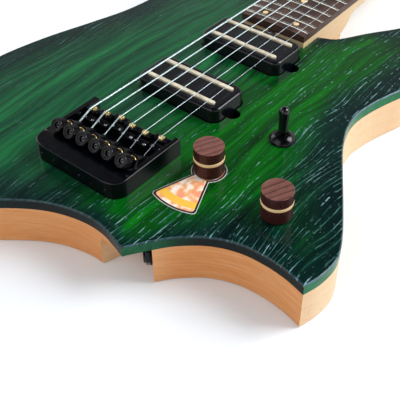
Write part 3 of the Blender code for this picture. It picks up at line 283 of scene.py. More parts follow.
def loft(sections):
    """A closed skin over like-numbered sections."""
    bm = bmesh.new()
    rings = [[bm.verts.new(p) for p in section] for section in sections]
    skin(bm, rings)
    bm.faces.new(rings[-1])
    return mesh_from(bm)


def tube(points, radius):
    """A round wire through the points."""
    curve = bpy.data.curves.new("wire", "CURVE")
    curve.dimensions, curve.bevel_depth, curve.use_fill_caps = "3D", radius, True
    curve.bevel_resolution = 4
    spline = curve.splines.new("POLY")
    spline.points.add(len(points) - 1)
    for point, place in zip(spline.points, points):
        point.co = (*place, 1)
    return evaluated(linked("wire", curve))


def smooth_run(points, steps=8, closed=False):
    """A smooth curve through the points."""
    count = len(points)
    if closed:
        fours = [[points[(i + k - 1) % count] for k in range(4)] for i in range(count)]
    else:
        ends = [points[0], *points, points[-1]]
        fours = [ends[i : i + 4] for i in range(count - 1)]
    found = []
    for four in fours:
        for k in range(steps):
            t = k / steps
            found.append(tuple(
                b + 0.5 * t * (c - a + t * (2 * a - 5 * b + 4 * c - d + t * (3 * b - a - 3 * c + d)))
                for a, b, c, d in zip(*four)
            ))
    return found if closed else [*found, tuple(points[-1])]


def oblong(half_x, half_y, radius, y=0, steps=10):
    """The outline of a rectangle with round corners."""
    points = []
    for corner, (side_x, side_y) in enumerate(((1, 1), (-1, 1), (-1, -1), (1, -1))):
        for k in range(steps + 1):
            angle = QUARTER * (corner + k / steps)
            points.append((
                (half_x - radius) * side_x + radius * math.cos(angle),
                y + (half_y - radius) * side_y + radius * math.sin(angle),
            ))
    return points


def piece(name, mesh, look, *nodes, body="body", sharp=32, weighted=True):
    """A visible piece: its mesh, its material, the body that it rides on and the nodes that it stands for."""
    mesh.name = name
    mesh.transform(Matrix.Scale(MM, 4))
    mesh.shade_smooth()
    mesh.set_sharp_from_angle(angle=math.radians(sharp))
    mesh.materials.clear()
    mesh.materials.append(look)
    obj = linked(name, mesh)
    if weighted:
        obj.modifiers.new("normals", "WEIGHTED_NORMAL").keep_sharp = True
    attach(obj, body)
    if nodes:
        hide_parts(*nodes)


# Materials: their nodes measure in millimetres from the guitar's origin


def sums(operation):
    return lambda value, *others: value.nodes.math(operation, value, *others)


class Value:
    """What comes out of a node; sums with it add the nodes that work them out."""

    __add__, __sub__, __mul__ = sums("ADD"), sums("SUBTRACT"), sums("MULTIPLY")
    __truediv__, __abs__ = sums("DIVIDE"), sums("ABSOLUTE")

    def __init__(self, nodes, socket):
        self.nodes, self.socket = nodes, socket


class Nodes:
    """A node tree; each call adds a node and gives what comes out of it."""

    def __init__(self, tree):
        self.tree = tree

    def wire(self, socket, value):
        if isinstance(value, Value):
            self.tree.links.new(value.socket, socket)
        elif socket.type == "RGBA":
            socket.default_value = (*value, 1)
        else:
            socket.default_value = value

    def add(self, kind, *values, into=range(5), out=0, **settings):
        node = self.tree.nodes.new("ShaderNode" + kind)
        for name, setting in settings.items():
            setattr(node, name, setting)
        for name, value in zip(into, values):
            self.wire(node.inputs[name], value)
        return Value(self, node.outputs[out])

    def math(self, operation, *values):
        return self.add("Math", *values, operation=operation)


class Look(Nodes):
    """The nodes of one material."""

    def __init__(self, name, slot, colour=(0.5, 0.5, 0.5), roughness=0.5, **sockets):
        self.material = bpy.data.materials.new(name)
        self.material["slot"] = slot
        self.material.use_nodes = True
        super().__init__(self.material.node_tree)
        self.shader = self.tree.nodes["Principled BSDF"]
        self.place = self.vector("MULTIPLY", self.add("TexCoord", out="Object"), (1000, 1000, 1000))
        self.x, self.y, self.z = (self.add("SeparateXYZ", self.place, out=axis) for axis in "XYZ")
        self.set(Base_Color=colour, Roughness=roughness, **sockets)

    def set(self, **sockets):
        for name, value in sockets.items():
            self.wire(self.shader.inputs[name.replace("_", " ")], value)
        return self.material

    def vector(self, operation, *values):
        out = "Value" if operation == "LENGTH" else "Vector"
        return self.add("VectorMath", *values, out=out, operation=operation)

    def point(self, x=0, y=0, z=0):
        return self.add("CombineXYZ", x, y, z)

    def noise(self, sizes, detail=2, rough=0.5, place=None, shift=0):
        """Noise whose lumps have these sizes along X, Y and Z."""
        scaled = self.vector("MULTIPLY", place or self.place, tuple(1 / s for s in sizes))
        shifted = self.vector("ADD", scaled, (shift, shift * 0.7, shift * 1.3))
        sockets = ("Vector", "Scale", "Detail", "Roughness")
        return self.add("TexNoise", shifted, 1, detail, rough, into=sockets)

    def span(self, value, low, high, out_low=0, out_high=1):
        """The value eased from one range to another."""
        return self.add("MapRange", value, low, high, out_low, out_high, interpolation_type="SMOOTHSTEP")

    def ramp(self, value, *stops):
        found = self.add("ValToRGB", value)
        marks = found.socket.node.color_ramp.elements
        while len(marks) < len(stops):
            marks.new(0.5)
        for mark, (position, colour) in zip(marks, stops):
            mark.position = position
            mark.color = (*colour, 1)
        return found

    def mix(self, share, one, two, blend="MIX"):
        return self.add("Mix", share, one, two, into=(0, 6, 7), out=2, data_type="RGBA", blend_type=blend)

    def faces(self, axis):
        """How far the surface faces along an axis."""
        return self.add("SeparateXYZ", self.add("TexCoord", out="Normal"), out=axis)

    def bump(self, height, strength, distance):
        return self.add("Bump", height, strength, distance * MM, into=("Height", "Strength", "Distance"))

    def rings(self, ring, centre, tilt, wander):
        """Growth rings of a trunk along Y: from 0 at early wood to 1 at the end of late wood."""
        drift = (self.noise((70, 190, 70), 3) - 0.5) * wander
        side = self.x - (self.y * tilt[0] + centre[0])
        up = self.z - (self.y * tilt[1] + centre[1])
        radius = self.vector("LENGTH", self.point(side, 0, up)) + drift
        return self.math("FRACT", radius / ring)


def wood(name, slot, early, late, ring, centre, tilt, wander, contrast, pores, pore_colour=0.55,
         roughness=0.42, fibre=(0.5, 16, 0.5), end=None, side_shade=None, **sockets):
    """Satin wood with rings and pores; end deepens what faces along Y, with end-grain lines and painted
    shade, and the sides' colour darkens what doesn't face up, as painted shade under a top that looks lit.
    """
    look = Look(name, slot, roughness=roughness, **sockets)
    greys = [(place, (grey,) * 3) for place, grey in ((0, 0.15), (0.55, 0.4), (0.9, 1), (1, 0.15))]
    ringed = look.ramp(look.rings(ring, centre, tilt, wander), *greys)
    streak = look.noise(fibre, 4, 0.6)
    broad = look.noise((26, 240, 26))
    share = ringed * contrast + (streak - 0.5) * 0.7 + (broad - 0.5) * 0.6
    colour = look.mix(look.span(share, -0.1, 1), early, late)
    least = 0.66 - 0.1 * pores
    holes = look.span(look.noise((0.28, 3.2, 0.28), 1, shift=7), least, least + 0.1)
    colour = look.mix(holes * 0.55, colour, tuple(c * pore_colour for c in late))
    # Faces along Y are deepened, with fine end-grain lines: partly painted shade on the sides turned from the
    # light
    if end:
        lines = look.noise((34, 60, 1.1), 4, 0.65, shift=13)
        across = look.span(abs(look.faces("Y")), 0.15, 0.75)
        colour = look.mix(across * look.span(lines, 0.3, 0.6, 0.72, 1), colour, end, "MULTIPLY")
    # Painted shade: what doesn't face up is darkened, so that the top looks lit by its sheen
    if side_shade:
        colour = look.mix(look.span(look.faces("Z"), 0.35, 0.75, 1, 0), colour, side_shade, "MULTIPLY")
    rough = look.span(streak, 0.3, 0.7, roughness - 0.06, roughness + 0.08)
    return look.set(Base_Color=colour, Roughness=rough, Normal=look.bump(streak * 0.35 - holes, 0.35, 0.12))


def stained_ash():
    """Open-pored ash, stained green in the middle and nearly black to the edge, with pores in rows painted
    pale as glints, a painted highlight along the rim and painted shade on the side that faces along Y.
    """
    look = Look("stained_ash", "stained_ash", Specular_IOR_Level=0.14, Coat_Roughness=0.12)
    span, noise = look.span, look.noise
    edge = look.add("Attribute", out="Fac", attribute_name="edge")
    treble = span(look.x, -30, 45)
    side = look.x + (noise((60, 150, 60), shift=3) - 0.5) * 38
    place = look.point(side, look.y, look.z)
    streak = noise((6.5, 150, 9), 3, 0.55, place)
    fine = noise((1.1, 60, 3), 3, 0.6, place, 4)
    tone = streak * 0.7 + fine * 0.3
    bass_wood = look.ramp(
        tone, (0.36, (0.003, 0.034, 0.018)), (0.5, (0.005, 0.072, 0.028)), (0.64, (0.008, 0.135, 0.04))
    )
    treble_wood = look.ramp(
        tone, (0.36, (0.0006, 0.024, 0.004)), (0.5, (0.0008, 0.074, 0.004)), (0.66, (0.001, 0.17, 0.003))
    )
    middle = look.mix(treble, bass_wood, treble_wood)
    depth = edge + (noise((22, 60, 22), shift=9) - 0.5) * 26
    outer = span(look.x, 55, 105)
    shaded = span(look.x, -30, 45, 48, 17) + outer * 47
    dark = look.ramp(tone, (0.35, (0.0006, 0.006, 0.008)), (0.65, (0.0015, 0.022, 0.016)))
    colour = look.mix(span(depth, outer * 6, shaded), dark, middle)
    # Pores: dashes in lines that follow the grain, with a few loose ones between them; their pale colour is a
    # painted highlight, glints on their edges
    wobble = noise((6, 60, 20), 2, 0.5, place, 11) * 4.5
    lanes = look.math("SINE", (side + wobble) * 1.95)
    patch = span(noise((12, 40, 12), 2, 0.5, place, 23), 0.36, 0.6)
    inner = patch * span(depth, 30, 52, 1, 0.3)
    border = span(depth, 6, 18, 0.7, 0) * span(look.x, 90, 140, 0.3, 1)
    crowd = look.math("MAXIMUM", inner, border)
    length = crowd * 0.15 + noise((1.3, 8, 3), 2, 0.65, place, 41)
    line = span(lanes, 0.83, 0.99) * span(length, 0.575, 0.635)
    loose = crowd * 0.05 + noise((0.34, 4, 1.6), 1, 0.45, place, 17)
    pore = look.math("MAXIMUM", line, span(loose, 0.715, 0.765))
    # Painted highlights: the pores' pale colour stands in for glints of light on their edges, weaker on the
    # bass side
    glint = noise((3, 16, 3), 2, 0.6, place, 29)
    pore_glint_colour = look.ramp(
        glint, (0.4, (0.006, 0.06, 0.04)), (0.54, (0.05, 0.165, 0.155)), (0.68, (0.27, 0.46, 0.52))
    )
    colour = look.mix(pore * span(treble, 0, 1, 0.22, 0.95), colour, pore_glint_colour)
    # The rounded rim, with a painted highlight along it, and the board's side below it, with painted shade
    # where it faces along Y
    endways = abs(look.faces("Y"))
    # Painted highlight: a pale line along the rim, brighter where the rim faces X
    rim_highlight = span(edge, 0.25, 1.1, 1, 0) * span(fine, 0.35, 0.6, 0.35, 1)
    rim_highlight = rim_highlight * span(endways, 0.2, 0.6, 0.8, 0.2)
    colour = look.mix(rim_highlight, colour, (0.12, 0.22, 0.28))
    below = span(look.z, TOP_Z - 1.6, TOP_Z - 0.5, 1, 0)
    # Painted shade: the side band is near black where it faces along Y and keeps its green where it faces X
    side_band_shaded = look.mix(span(endways, 0.35, 0.85), (0.014, 0.185, 0.07), (0.001, 0.006, 0.006))
    side_band_shaded = look.mix(span(fine, 0.3, 0.7, 0, 0.4), side_band_shaded, (0, 0.004, 0.003))
    return look.set(
        Base_Color=look.mix(below, colour, side_band_shaded), Roughness=fine * 0.18 + 0.15 - rim_highlight * 0.1,
        Normal=look.bump(fine * 0.4 - pore, 0.45, 0.14), Coat_Weight=span(below, 0, 1, 0.3, 0),
    )


def metal(name, slot, colour, roughness, metallic=1, **sockets):
    """Metal with fine machining marks and a little wear in its gloss."""
    look = Look(name, slot, colour, roughness, Metallic=metallic, **sockets)
    grain = look.noise((0.5, 0.5, 0.5), 3, 0.6)
    wear = look.noise((7, 9, 7), 4, 0.65, shift=5)
    darker, paler = (tuple(min(1, c * share) for c in colour) for share in (0.75, 1.25))
    return look.set(
        Base_Color=look.mix(look.span(wear, 0.3, 0.7), darker, paler),
        Roughness=look.span(wear, 0.3, 0.7, roughness * 0.8, roughness * 1.25) + grain * 0.06,
        Normal=look.bump(grain, 0.25, 0.02),
    )


def wound_steel():
    """A string's wrap of round wire, with painted shade in the grooves between its turns."""
    look = Look("wound_steel", "steel", (0.62, 0.64, 0.68), 0.38, Metallic=1)
    turns = look.math("SINE", (look.y + look.x * 0.3) * 19)
    # Painted shade: darker bands in the grooves between the wire's turns
    groove_shade = look.mix(look.span(turns, -1, 0.2), (0.44, 0.53, 0.55), (0.58, 0.7, 0.72))
    return look.set(Base_Color=groove_shade, Normal=look.bump(turns, 0.35, 0.03))


def plastic(name, slot, colour, roughness, grain=0.35, depth=0.02, **sockets):
    """Moulded plastic with a fine skin."""
    look = Look(name, slot, colour, roughness, **sockets)
    skin_noise = look.noise((grain,) * 3, 2, 0.6)
    wear = look.noise((9, 9, 9), 4, 0.6, shift=3)
    return look.set(
        Base_Color=look.mix(look.span(wear, 0.35, 0.75), colour, tuple(c * 1.5 for c in colour)),
        Roughness=look.span(wear, 0.3, 0.7, roughness * 0.85, roughness * 1.2),
        Normal=look.bump(skin_noise, 0.2, depth),
    )


def card_print():
    """Coated card with a generic print: soft warm shapes and a yellow band along the arc."""
    look = Look("card_print", "card", roughness=0.4)
    reach = look.vector("LENGTH", look.point(look.x - VOLUME[0], look.y - VOLUME[1]))
    colour = look.ramp(
        look.noise((5, 6.5, 5), 1.5, 0.5, shift=31), (0.36, (0.86, 0.3, 0.2)),
        (0.46, (0.9, 0.42, 0.16)), (0.52, (0.93, 0.66, 0.5)), (0.6, (0.92, 0.84, 0.74)),
    )
    band = look.span(reach, 29, 29.6) * look.span(reach, 34.6, 35, 1, 0)
    colour = look.mix(band, colour, (0.9, 0.52, 0.06))
    fibre = look.noise((0.3, 0.3, 0.3))
    colour = look.mix(look.span(fibre, 0.3, 0.8, 0, 0.08), colour, (0.4, 0.3, 0.2))
    return look.set(Base_Color=colour, Normal=look.bump(fibre, 0.15, 0.02))


ASH = stained_ash()
# The alder's faces along Y get a deeper orange: end-grain lines and painted shade
BACK_WOOD = wood(
    "alder", "alder", (0.85, 0.6, 0.35), (0.72, 0.42, 0.2), 7.5, (35, -95), (0.02, 0.06), 16, 0.26, 0.4,
    end=(0.8, 0.43, 0.17),
)
MAPLE = wood(
    "maple", "maple", (0.8, 0.6, 0.35), (0.66, 0.44, 0.22), 2.6, (8, -60), (0.01, 0.02), 5, 0.4, 0.2
)
RING_WOOD = wood(
    "ring_maple", "maple", (0.86, 0.63, 0.33), (0.72, 0.46, 0.2), 1.6, (40, -40), (0, 0), 2, 0.5, 0.1
)
# The knob's sides are darkened by painted shade, so that its top looks lit
KNOB_WOOD = wood(
    "rosewood_knob", "rosewood", (0.225, 0.092, 0.074), (0.036, 0.013, 0.013), 1.9, (86, -12), (0.5, 0),
    5, 0.62, 0.7, 0.35, 0.3, (0.6, 9, 0.6), side_shade=(0.24, 0.13, 0.14), Specular_IOR_Level=0.25,
)
BOARD_WOOD = wood(
    "rosewood_board", "rosewood", (0.085, 0.04, 0.028), (0.03, 0.014, 0.011), 2.2, (5, -70),
    (0.01, 0.01), 6, 0.8, 0.9, 0.3, 0.45,
)
BLACK = metal("black_metal", "black_metal", (0.0008, 0.0011, 0.0026), 0.16, 0, Specular_IOR_Level=0.32)
BLACK_SATIN = metal("black_satin", "black_metal", (0.001, 0.0012, 0.0022), 0.22, 0, Specular_IOR_Level=0.14)
STEEL = metal("steel", "steel", (0.62, 0.64, 0.66), 0.22)
PLAIN_WIRE = metal("plain_wire", "steel", (0.5, 0.57, 0.64), 0.34)
STUD = metal("stud_steel", "steel", (0.2, 0.2, 0.22), 0.3)
WOUND_WIRE = wound_steel()
NICKEL = metal("fret_nickel", "steel", (0.7, 0.68, 0.62), 0.2)
BRASS = metal("brass", "brass", (0.92, 0.64, 0.27), 0.24)
BLADE = metal("pale_blade", "pale_steel", (0.8, 0.72, 0.56), 0.38, 0.35)
SHELL = plastic(
    "pickup_shell", "black_plastic", (0.0022, 0.0024, 0.0045), 0.22, 0.5, 0.03, Specular_IOR_Level=0.4
)
GLOSS = plastic("lever_gloss", "black_plastic", (0.0018, 0.0018, 0.003), 0.1, 0.5, 0.005)
PLASTIC = plastic("cover_plastic", "black_plastic", (0.015, 0.015, 0.017), 0.42, 0.25, 0.05)
NUT_BLACK = plastic("nut_black", "bone", (0.03, 0.03, 0.032), 0.36)
CARD_FACE = card_print()
CARD_EDGE = plastic("card_edge", "card", (0.012, 0.01, 0.012), 0.35, 0.3)
CARD_STOCK = plastic("card_stock", "card", (0.62, 0.6, 0.58), 0.5, 0.3)


# Lines that several pieces share


def string_x(index, y=0):
    share = min(max(y / SCALE, 0), 1)
    return (index - 2.5) * (BRIDGE_PITCH * (1 - share) + NUT_PITCH * share)


def camber(x):
    return x * x / (2 * CAMBER_RADIUS)


def saddle_z(index):
    return TOP_Z + 14.9 - camber(string_x(index))


def nut_z(index):
    return TOP_Z + 11.8 + STRING_RADII[index] - camber(string_x(index, SCALE))


CLAMP_Z = nut_z(0) - 1


def board_half_width(y):
    return abs(string_x(0, y)) + 3.4


def screw(radius, height, recess, shank=0, shank_radius=0, kind="cross", dome=0.35):
    """A screw with its head's top at z 0, and a cross or a hexagon sunk in it."""
    crown = (radius, -dome * height, radius * 0.35)
    profile = [(0, 0), crown, (radius, -height), (shank_radius, -height)]
    if shank:
        profile += [(shank_radius, -height - shank), (0, -height - shank)]
    mesh = turned(profile, 36)
    if kind == "hex":
        return carved(mesh, rod(recess, -height * 0.7, 1, segments=6))
    arm, deep = recess * 0.2, height * 0.75
    slot = loft([
        [(-recess * s, -arm, z), (recess * s, -arm, z), (recess * s, arm, z), (-recess * s, arm, z)]
        for s, z in ((0.35, -deep), (1, 0.4))
    ])
    return carved(mesh, slot, moved(slot.copy(), turn=(0, 0, QUARTER)))


# Body


def body_outline(steps=7):
    neck, heel = BOARD_END_Y, HEEL_END_Y
    treble_x = board_half_width(heel) - 0.4
    tail_point, treble_point = (61.5, -72.2), (154.4, -32.8)
    tail_scoop = [(-62, -129), (-42, -107), (-20, -88), (0, -74.6), (20, -67.6), (40, -66.4), tail_point]
    leg_rest = [
        tail_point, (70, -60), (80, -47.6), (94, -36.4), (110, -30), (126, -28.4), (141, -29.6), treble_point
    ]
    treble_side = [
        treble_point, (157.4, -22), (158.2, -10), (156, 0), (150, 12.5), (139, 31), (124, 55), (111, 76.5),
        (103, 95), (100.4, 110), (102, 126), (106, 142), (111.5, 160), (115.5, 180), (116, 200), (112, 222),
        (105, 240), (97, 249), (89, 249), (79, 239), (67, 221), (54, 203), (42, neck + 28), (33, neck + 22),
        (treble_x, neck + 20),
    ]
    bass_side = [
        (-treble_x, heel - 6), (-35, heel - 2), (-48, heel + 9), (-66, heel + 32), (-82, heel + 56),
        (-95, heel + 69), (-107, heel + 72), (-116, heel + 64), (-121, 256), (-122, 232), (-118, 204),
        (-112.5, 176), (-110, 148), (-113, 118), (-122, 86), (-133, 50), (-140, 14), (-141, -22), (-135, -58),
        (-121, -92), (-98, -119), (-76, -131), (-65, -132),
    ]
    runs = [smooth_run(run, steps) for run in (tail_scoop, leg_rest, treble_side, bass_side)]
    return [*runs[0], *runs[1][1:], *runs[2][1:], (treble_x, heel), (-treble_x, heel), *runs[3]]


OUTLINE = body_outline()
CAVITY = smooth_run([
    (47, -14), (64, -21), (84, -32), (104, -22), (127, -14), (133, 3), (122, 22),
    (104, 42), (94, 62), (80, 75), (66, 70), (61, 50), (52, 26), (45, 5),
], 6, closed=True)
NECK_SCREWS = [(x, BOARD_END_Y + row) for x in (-17, 17) for row in (14, 44)]


def neck_pocket(clear, low):
    """The tool for the neck's pocket, which is open past the body's end."""
    start, end = BOARD_END_Y - GAP, HEEL_END_Y + FAR
    narrow, wide = board_half_width(start) + clear, board_half_width(end) + clear
    return slab([(narrow, start), (wide, end), (-wide, end), (-narrow, start)], low, TOP_Z + FAR)


def pickup_outline(y, grow=0):
    return oblong(34.5 + grow, 16.5 + grow, 6.5 + max(grow, 0), y)


def pickup_routs(low):
    tools = []
    for y in PICKUP_Y.values():
        for outline in (pickup_outline(y, 0.8), oblong(41.5, 5.3, 5.2, y)):
            tools.append(slab(outline, low, TOP_Z + FAR))
    return tools


def jack_notch():
    deep = [(37.4, -95), (37.4, -66.4), (42.5, -50), (49.5, -36.5), (71.2, -58.2), (71.2, -95)]
    high = [(36.8, -95), (36.8, -67), (60.4, -71.9), (55.6, -42.6), (71.2, -58.2), (71.2, -95)]
    sections = []
    for share in (-0.1, 0.1, 0.25, 0.4, 0.52, 0.62, 0.7, 0.78, 0.86, 0.94, 1.05):
        lean = max(share, 0) ** 3
        sections.append([
            (x0 + (x1 - x0) * lean, y0 + (y1 - y0) * lean, GLUE_Z * share)
            for (x0, y0), (x1, y1) in zip(deep, high)
        ])
    return loft(sections)


def button_frame(node):
    """The place and turn of a strap button, on the outline where its node is."""
    low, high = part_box(node)
    middle = (low + high) / 2 / MM
    count = len(OUTLINE)
    nearest = min(range(count), key=lambda i: math.dist(OUTLINE[i], middle[:2]))
    (x0, y0), (x1, y1) = OUTLINE[nearest - 1], OUTLINE[(nearest + 1) % count]
    return (*OUTLINE[nearest], 14), (QUARTER, 0, math.atan2(x0 - x1, y1 - y0) + QUARTER)


def edge_distance(mesh):
    """Keeps each vertex's distance to the outline with the mesh, in millimetres."""
    place = np.empty(len(mesh.vertices) * 3)
    mesh.vertices.foreach_get("co", place)
    place = place.reshape(-1, 3)[:, :2]
    best = np.full(len(place), np.inf)
    for start, end in zip(OUTLINE, [*OUTLINE[1:], OUTLINE[0]]):
        start, along = np.array(start), np.array(end) - np.array(start)
        share = np.clip(((place - start) @ along) / (along @ along), 0, 1)
        best = np.minimum(best, np.linalg.norm(place - start - share[:, None] * along, axis=1))
    mesh.attributes.new("edge", "FLOAT", "POINT").data.foreach_set("value", best.astype(np.float32))


def body():
    wheel_z = NECK_TOP_Z - 4.6
    well = block((-6.7, BOARD_END_Y - 6.6, wheel_z - 6.7), (6.7, BOARD_END_Y + 1, TOP_Z + FAR))
    holes = [rod(r, -FAR, FAR, (*place, TOP_Z)) for place, r in ((VOLUME, 4.7), (TONE, 4.7), (SWITCH, 5.5))]
    top = slab(OUTLINE, TOP_UNDER_Z, TOP_Z, top=RIM, steps=5, spacing=5)
    top = filled(carved(top, neck_pocket(0.5, 0), *pickup_routs(0), well, *holes))
    edge_distance(top)
    piece("top_board", top, ASH, "body_top")

    tools = [neck_pocket(GAP, POCKET_Z), *pickup_routs(TOP_Z - 19), slab(CAVITY, -FAR, TOP_Z)]
    tools += [slab(grown(CAVITY, 5.5), -FAR, 2.6), jack_notch(), rod(5.6, -31, 8, *JACK)]
    for x, y in NECK_SCREWS:
        tools += [rod(2.4, -FAR, FAR, (x, y, 0)), rod(4.9, -FAR, 3.5, (x, y, 0))]
    back = carved(slab(OUTLINE, 0, TOP_UNDER_Z - 0.02, bottom=RIM, steps=5), *tools)
    piece("back_wood", back, BACK_WOOD, "body_back", sharp=28)

    cover = edged(slab(grown(CAVITY, 5), 0.3, 2.3, bottom=0.4), 0.1)
    rim = grown(CAVITY, 2.6)
    places = [rim[round(len(rim) * k / 7)] for k in range(7)]
    sink = [(0, 1.4), (1.2, 1.4), (2.7, -0.2), (0, -0.2)]
    cover = carved(cover, *[moved(turned(sink), (x, y, 0.3)) for x, y in places])
    piece("cavity_cover", cover, PLASTIC, "control_cover")
    for number, (x, y) in enumerate(places, 1):
        head = moved(screw(2.2, 1, 1.4), (x, y, 0.4), (math.pi, 0, 0.7 * number))
        piece(f"cover_screw_{number}", head, BLACK_SATIN)
    for number, (x, y) in enumerate(NECK_SCREWS, 1):
        head = moved(screw(4.6, 2.6, 2.6, 30, 2.1), (x, y, GAP), (math.pi, 0, 0.5 * number))
        piece(f"heel_screw_{number}", head, BLACK_SATIN, f"neck_screw_{number}")

    knob = [
        (2.6, 9.6), (2.8, 10.9, 0.3), (4.4, 11, 0.8), (7, 9.8, 1.2), (7, 8, 1), (3.5, 5.6, 1.6),
        (3.5, 2.6, 1.6), (5.25, 1, 0.5), (5.25, 0.1), (1.7, 0.1),
    ]
    for end in ("horn", "tail"):
        node = f"strap_button_{end}"
        place, turn = button_frame(node)
        piece(f"{end}_button", moved(turned(knob), place, turn), BLACK_SATIN, node)
        driver = moved(screw(2.7, 1, 1.7, 9, 1.6), (0, 0, 10.7))
        piece(f"{end}_button_screw", moved(driver, place, turn), BLACK_SATIN)


# Neck


def neck_section(y, depth, fullness):
    """The line round the neck's back from side to side; a greater fullness makes it squarer."""
    points = []
    for k in range(37):
        angle = math.pi * k / 36
        reach, drop = (abs(turn(angle)) ** (2 / fullness) for turn in (math.cos, math.sin))
        x = math.copysign(board_half_width(y) * reach, math.cos(angle))
        points.append((x, y, NECK_TOP_Z - depth * drop))
    return points


def arched(ends, crown, low):
    """A bar as wide as the fretboard, with a cambered top, between two places along Y."""
    sections = []
    for y in ends:
        half = board_half_width(y)
        xs = [half * (1 - k / 8) for k in range(17)]
        sections.append([*[(x, y, crown - camber(x)) for x in xs], (-half, y, low), (half, y, low)])
    return loft(sections)


def fret_y(number):
    return SCALE * 2 ** (-number / 12)


def neck():
    heel_depth, shaft_depth, blend = NECK_TOP_Z - POCKET_Z - GAP, 16, 24
    stations = [(y, heel_depth, 30) for y in (BOARD_END_Y, BOARD_END_Y + 20, HEEL_END_Y)]
    shape = smooth_run([(0, 30), (0.25, 12), (0.5, 5.5), (0.75, 3.2), (1, 2.6)], 4)
    for share, fullness in shape[1:]:
        depth = heel_depth + (shaft_depth - heel_depth) * share * share * (3 - 2 * share)
        stations.append((HEEL_END_Y + blend * share, depth, fullness))
    for share in (0.25, 0.5, 0.75, 1):
        y = HEEL_END_Y + blend + (SCALE - 34 - HEEL_END_Y) * share
        stations.append((y, shaft_depth - 2 * share, 2.6 - 0.1 * share))
    stations += [(SCALE + 4, 14, 3.5), (SCALE + 12, 14, 3.8), (SCALE + 33, 14, 4)]
    sections = [neck_section(*station) for station in stations]
    end = [(x * 0.985, y + 1, NECK_TOP_Z + (z - NECK_TOP_Z) * 0.95) for x, y, z in sections[-1]]
    channel = block((-3, BOARD_END_Y - FAR, NECK_TOP_Z - 9), (3, SCALE - 8, NECK_TOP_Z + FAR))
    piece("neck_wood", carved(loft([*sections, end]), channel), MAPLE, "neck", sharp=40)

    board = edged(arched((BOARD_END_Y, SCALE - GAP), BOARD_TOP_Z, NECK_TOP_Z + GAP * 0.3), 0.35, angle=60)
    slots = []
    for y in map(fret_y, range(1, 25)):
        slots.append(block((-FAR, y - 0.28, BOARD_TOP_Z - 3.2), (FAR, y + 0.28, BOARD_TOP_Z + FAR)))
    piece("finger_board", carved(board, joined(*slots)), BOARD_WOOD, "fretboard")

    wires = []
    tang = [(-0.26, -0.05), (-0.26, -1.8), (0.26, -1.8), (0.26, -0.05)]
    for number in range(25):
        y = fret_y(number) - (0 if number else 2.2)
        half = board_half_width(y) - 0.25
        sections = []
        for k in range(-8, 9):
            x = half * k / 8
            tall = 1.1 if abs(k) < 8 else 0.55
            arch = [(1.1 * math.cos(a), tall * math.sin(a)) for a in np.linspace(0, math.pi, 9)]
            ring = arch + (tang if number else [])
            sections.append([(x, y + w, BOARD_TOP_Z - camber(x) + h) for w, h in ring])
        wires.append(loft(sections))
    piece("frets", joined(*wires), NICKEL)

    dots = []
    for number in (3, 5, 7, 9, 12, 15, 17, 19, 21, 24):
        y = (fret_y(number) + fret_y(number - 1)) / 2
        half = board_half_width(y)
        radius = min(3, (fret_y(number - 1) - fret_y(number)) * 0.22)
        for share in (-0.5, 0.5) if number in (12, 24) else (0,):
            x = share * half
            place, turn = (x, y, BOARD_TOP_Z - camber(x)), (0, x / CAMBER_RADIUS, 0)
            dots.append(rod(radius, -1, 0.03, place, turn, 36))
        dots.append(rod(1, -1, 0.03, (-half, y, BOARD_TOP_Z - 3), (0, -QUARTER, 0), 20))
    piece("board_dots", joined(*dots), RING_WOOD)

    tools = []
    for i in STRINGS:
        x, z, half = string_x(i, SCALE), nut_z(i), STRING_RADII[i] + 0.08
        tools.append(rod(half, -FAR, FAR, (x, SCALE, z), ALONG_Y, 16))
        tools.append(block((x - half, SCALE - FAR, z), (x + half, SCALE + FAR, TOP_Z + FAR)))
    nut = edged(arched((SCALE, SCALE + 4.5), TOP_Z + 12.3 - GAP, NECK_TOP_Z + GAP), 0.3, angle=50)
    piece("string_nut", carved(nut, *tools), NUT_BLACK, "nut")


def headpiece():
    half = board_half_width(SCALE) + 1.5
    start, end, inner = SCALE + 7.5, SCALE + 32.5, half - 3
    bed, bar_low = CLAMP_Z - STRING_RADII[0] - GAP, CLAMP_Z + STRING_RADII[0] + GAP
    top = bar_low + 4.4
    head = slab(oblong(half, 12.5, 4, SCALE + 20), NECK_TOP_Z + GAP, top, top=0.8, bottom=0.4)
    head = carved(head, block((-inner, start - FAR, bed), (inner, end - 3, top + FAR)))
    piece("head_block", edged(head, 0.25, angle=50), BLACK_SATIN, "headpiece")
    width, bar_start, bar_top = inner - GAP, start + 4, bar_low + 5.5
    bar = edged(block((-width, bar_start, bar_low), (width, bar_start + 14, bar_top)), 0.7, 3)
    seats = [rod(2.7, -0.4, FAR, (string_x(i, SCALE), bar_start + 7, bar_top)) for i in STRINGS]
    piece("clamp_bar", carved(bar, *seats), BLACK, "string_clamp")
    for i in STRINGS:
        bolt = screw(2.4, 1.9, 1.3, kind="hex", dome=0.2)
        piece(f"clamp_screw_{i + 1}", moved(bolt, (string_x(i, SCALE), bar_start + 7, bar_low + 7.05)), STEEL)


# Bridge

LEAN = math.radians(35)
BRIDGE_REAR = -48.9

# A puller's travel back and forward, its ball's radius, and how deep its parts lie below the tuner's face
PULL_BACK, PULL_FORWARD, BALL_RADIUS, BALL_CLEAR, BALL_RISE = 2.25, 1.5, 1.9, 0.2, -1.1
BOSS_DEPTH = 10.6
POCKET_REAR = BOSS_DEPTH + 2.3
BALL_DEPTH = POCKET_REAR + PULL_BACK + BALL_CLEAR + BALL_RADIUS
POCKET_FRONT = BALL_DEPTH + BALL_RADIUS + BALL_CLEAR + PULL_FORWARD
PULLER_FRONT = POCKET_FRONT + 1.2


def tuner_along(depth, rise=0):
    """Y and Z this deep below a tuner's face and this far over its axis."""
    sine, cosine = math.sin(LEAN), math.cos(LEAN)
    return -34.2 + depth * cosine + rise * sine, TOP_Z + 18.4 - depth * sine + rise * cosine


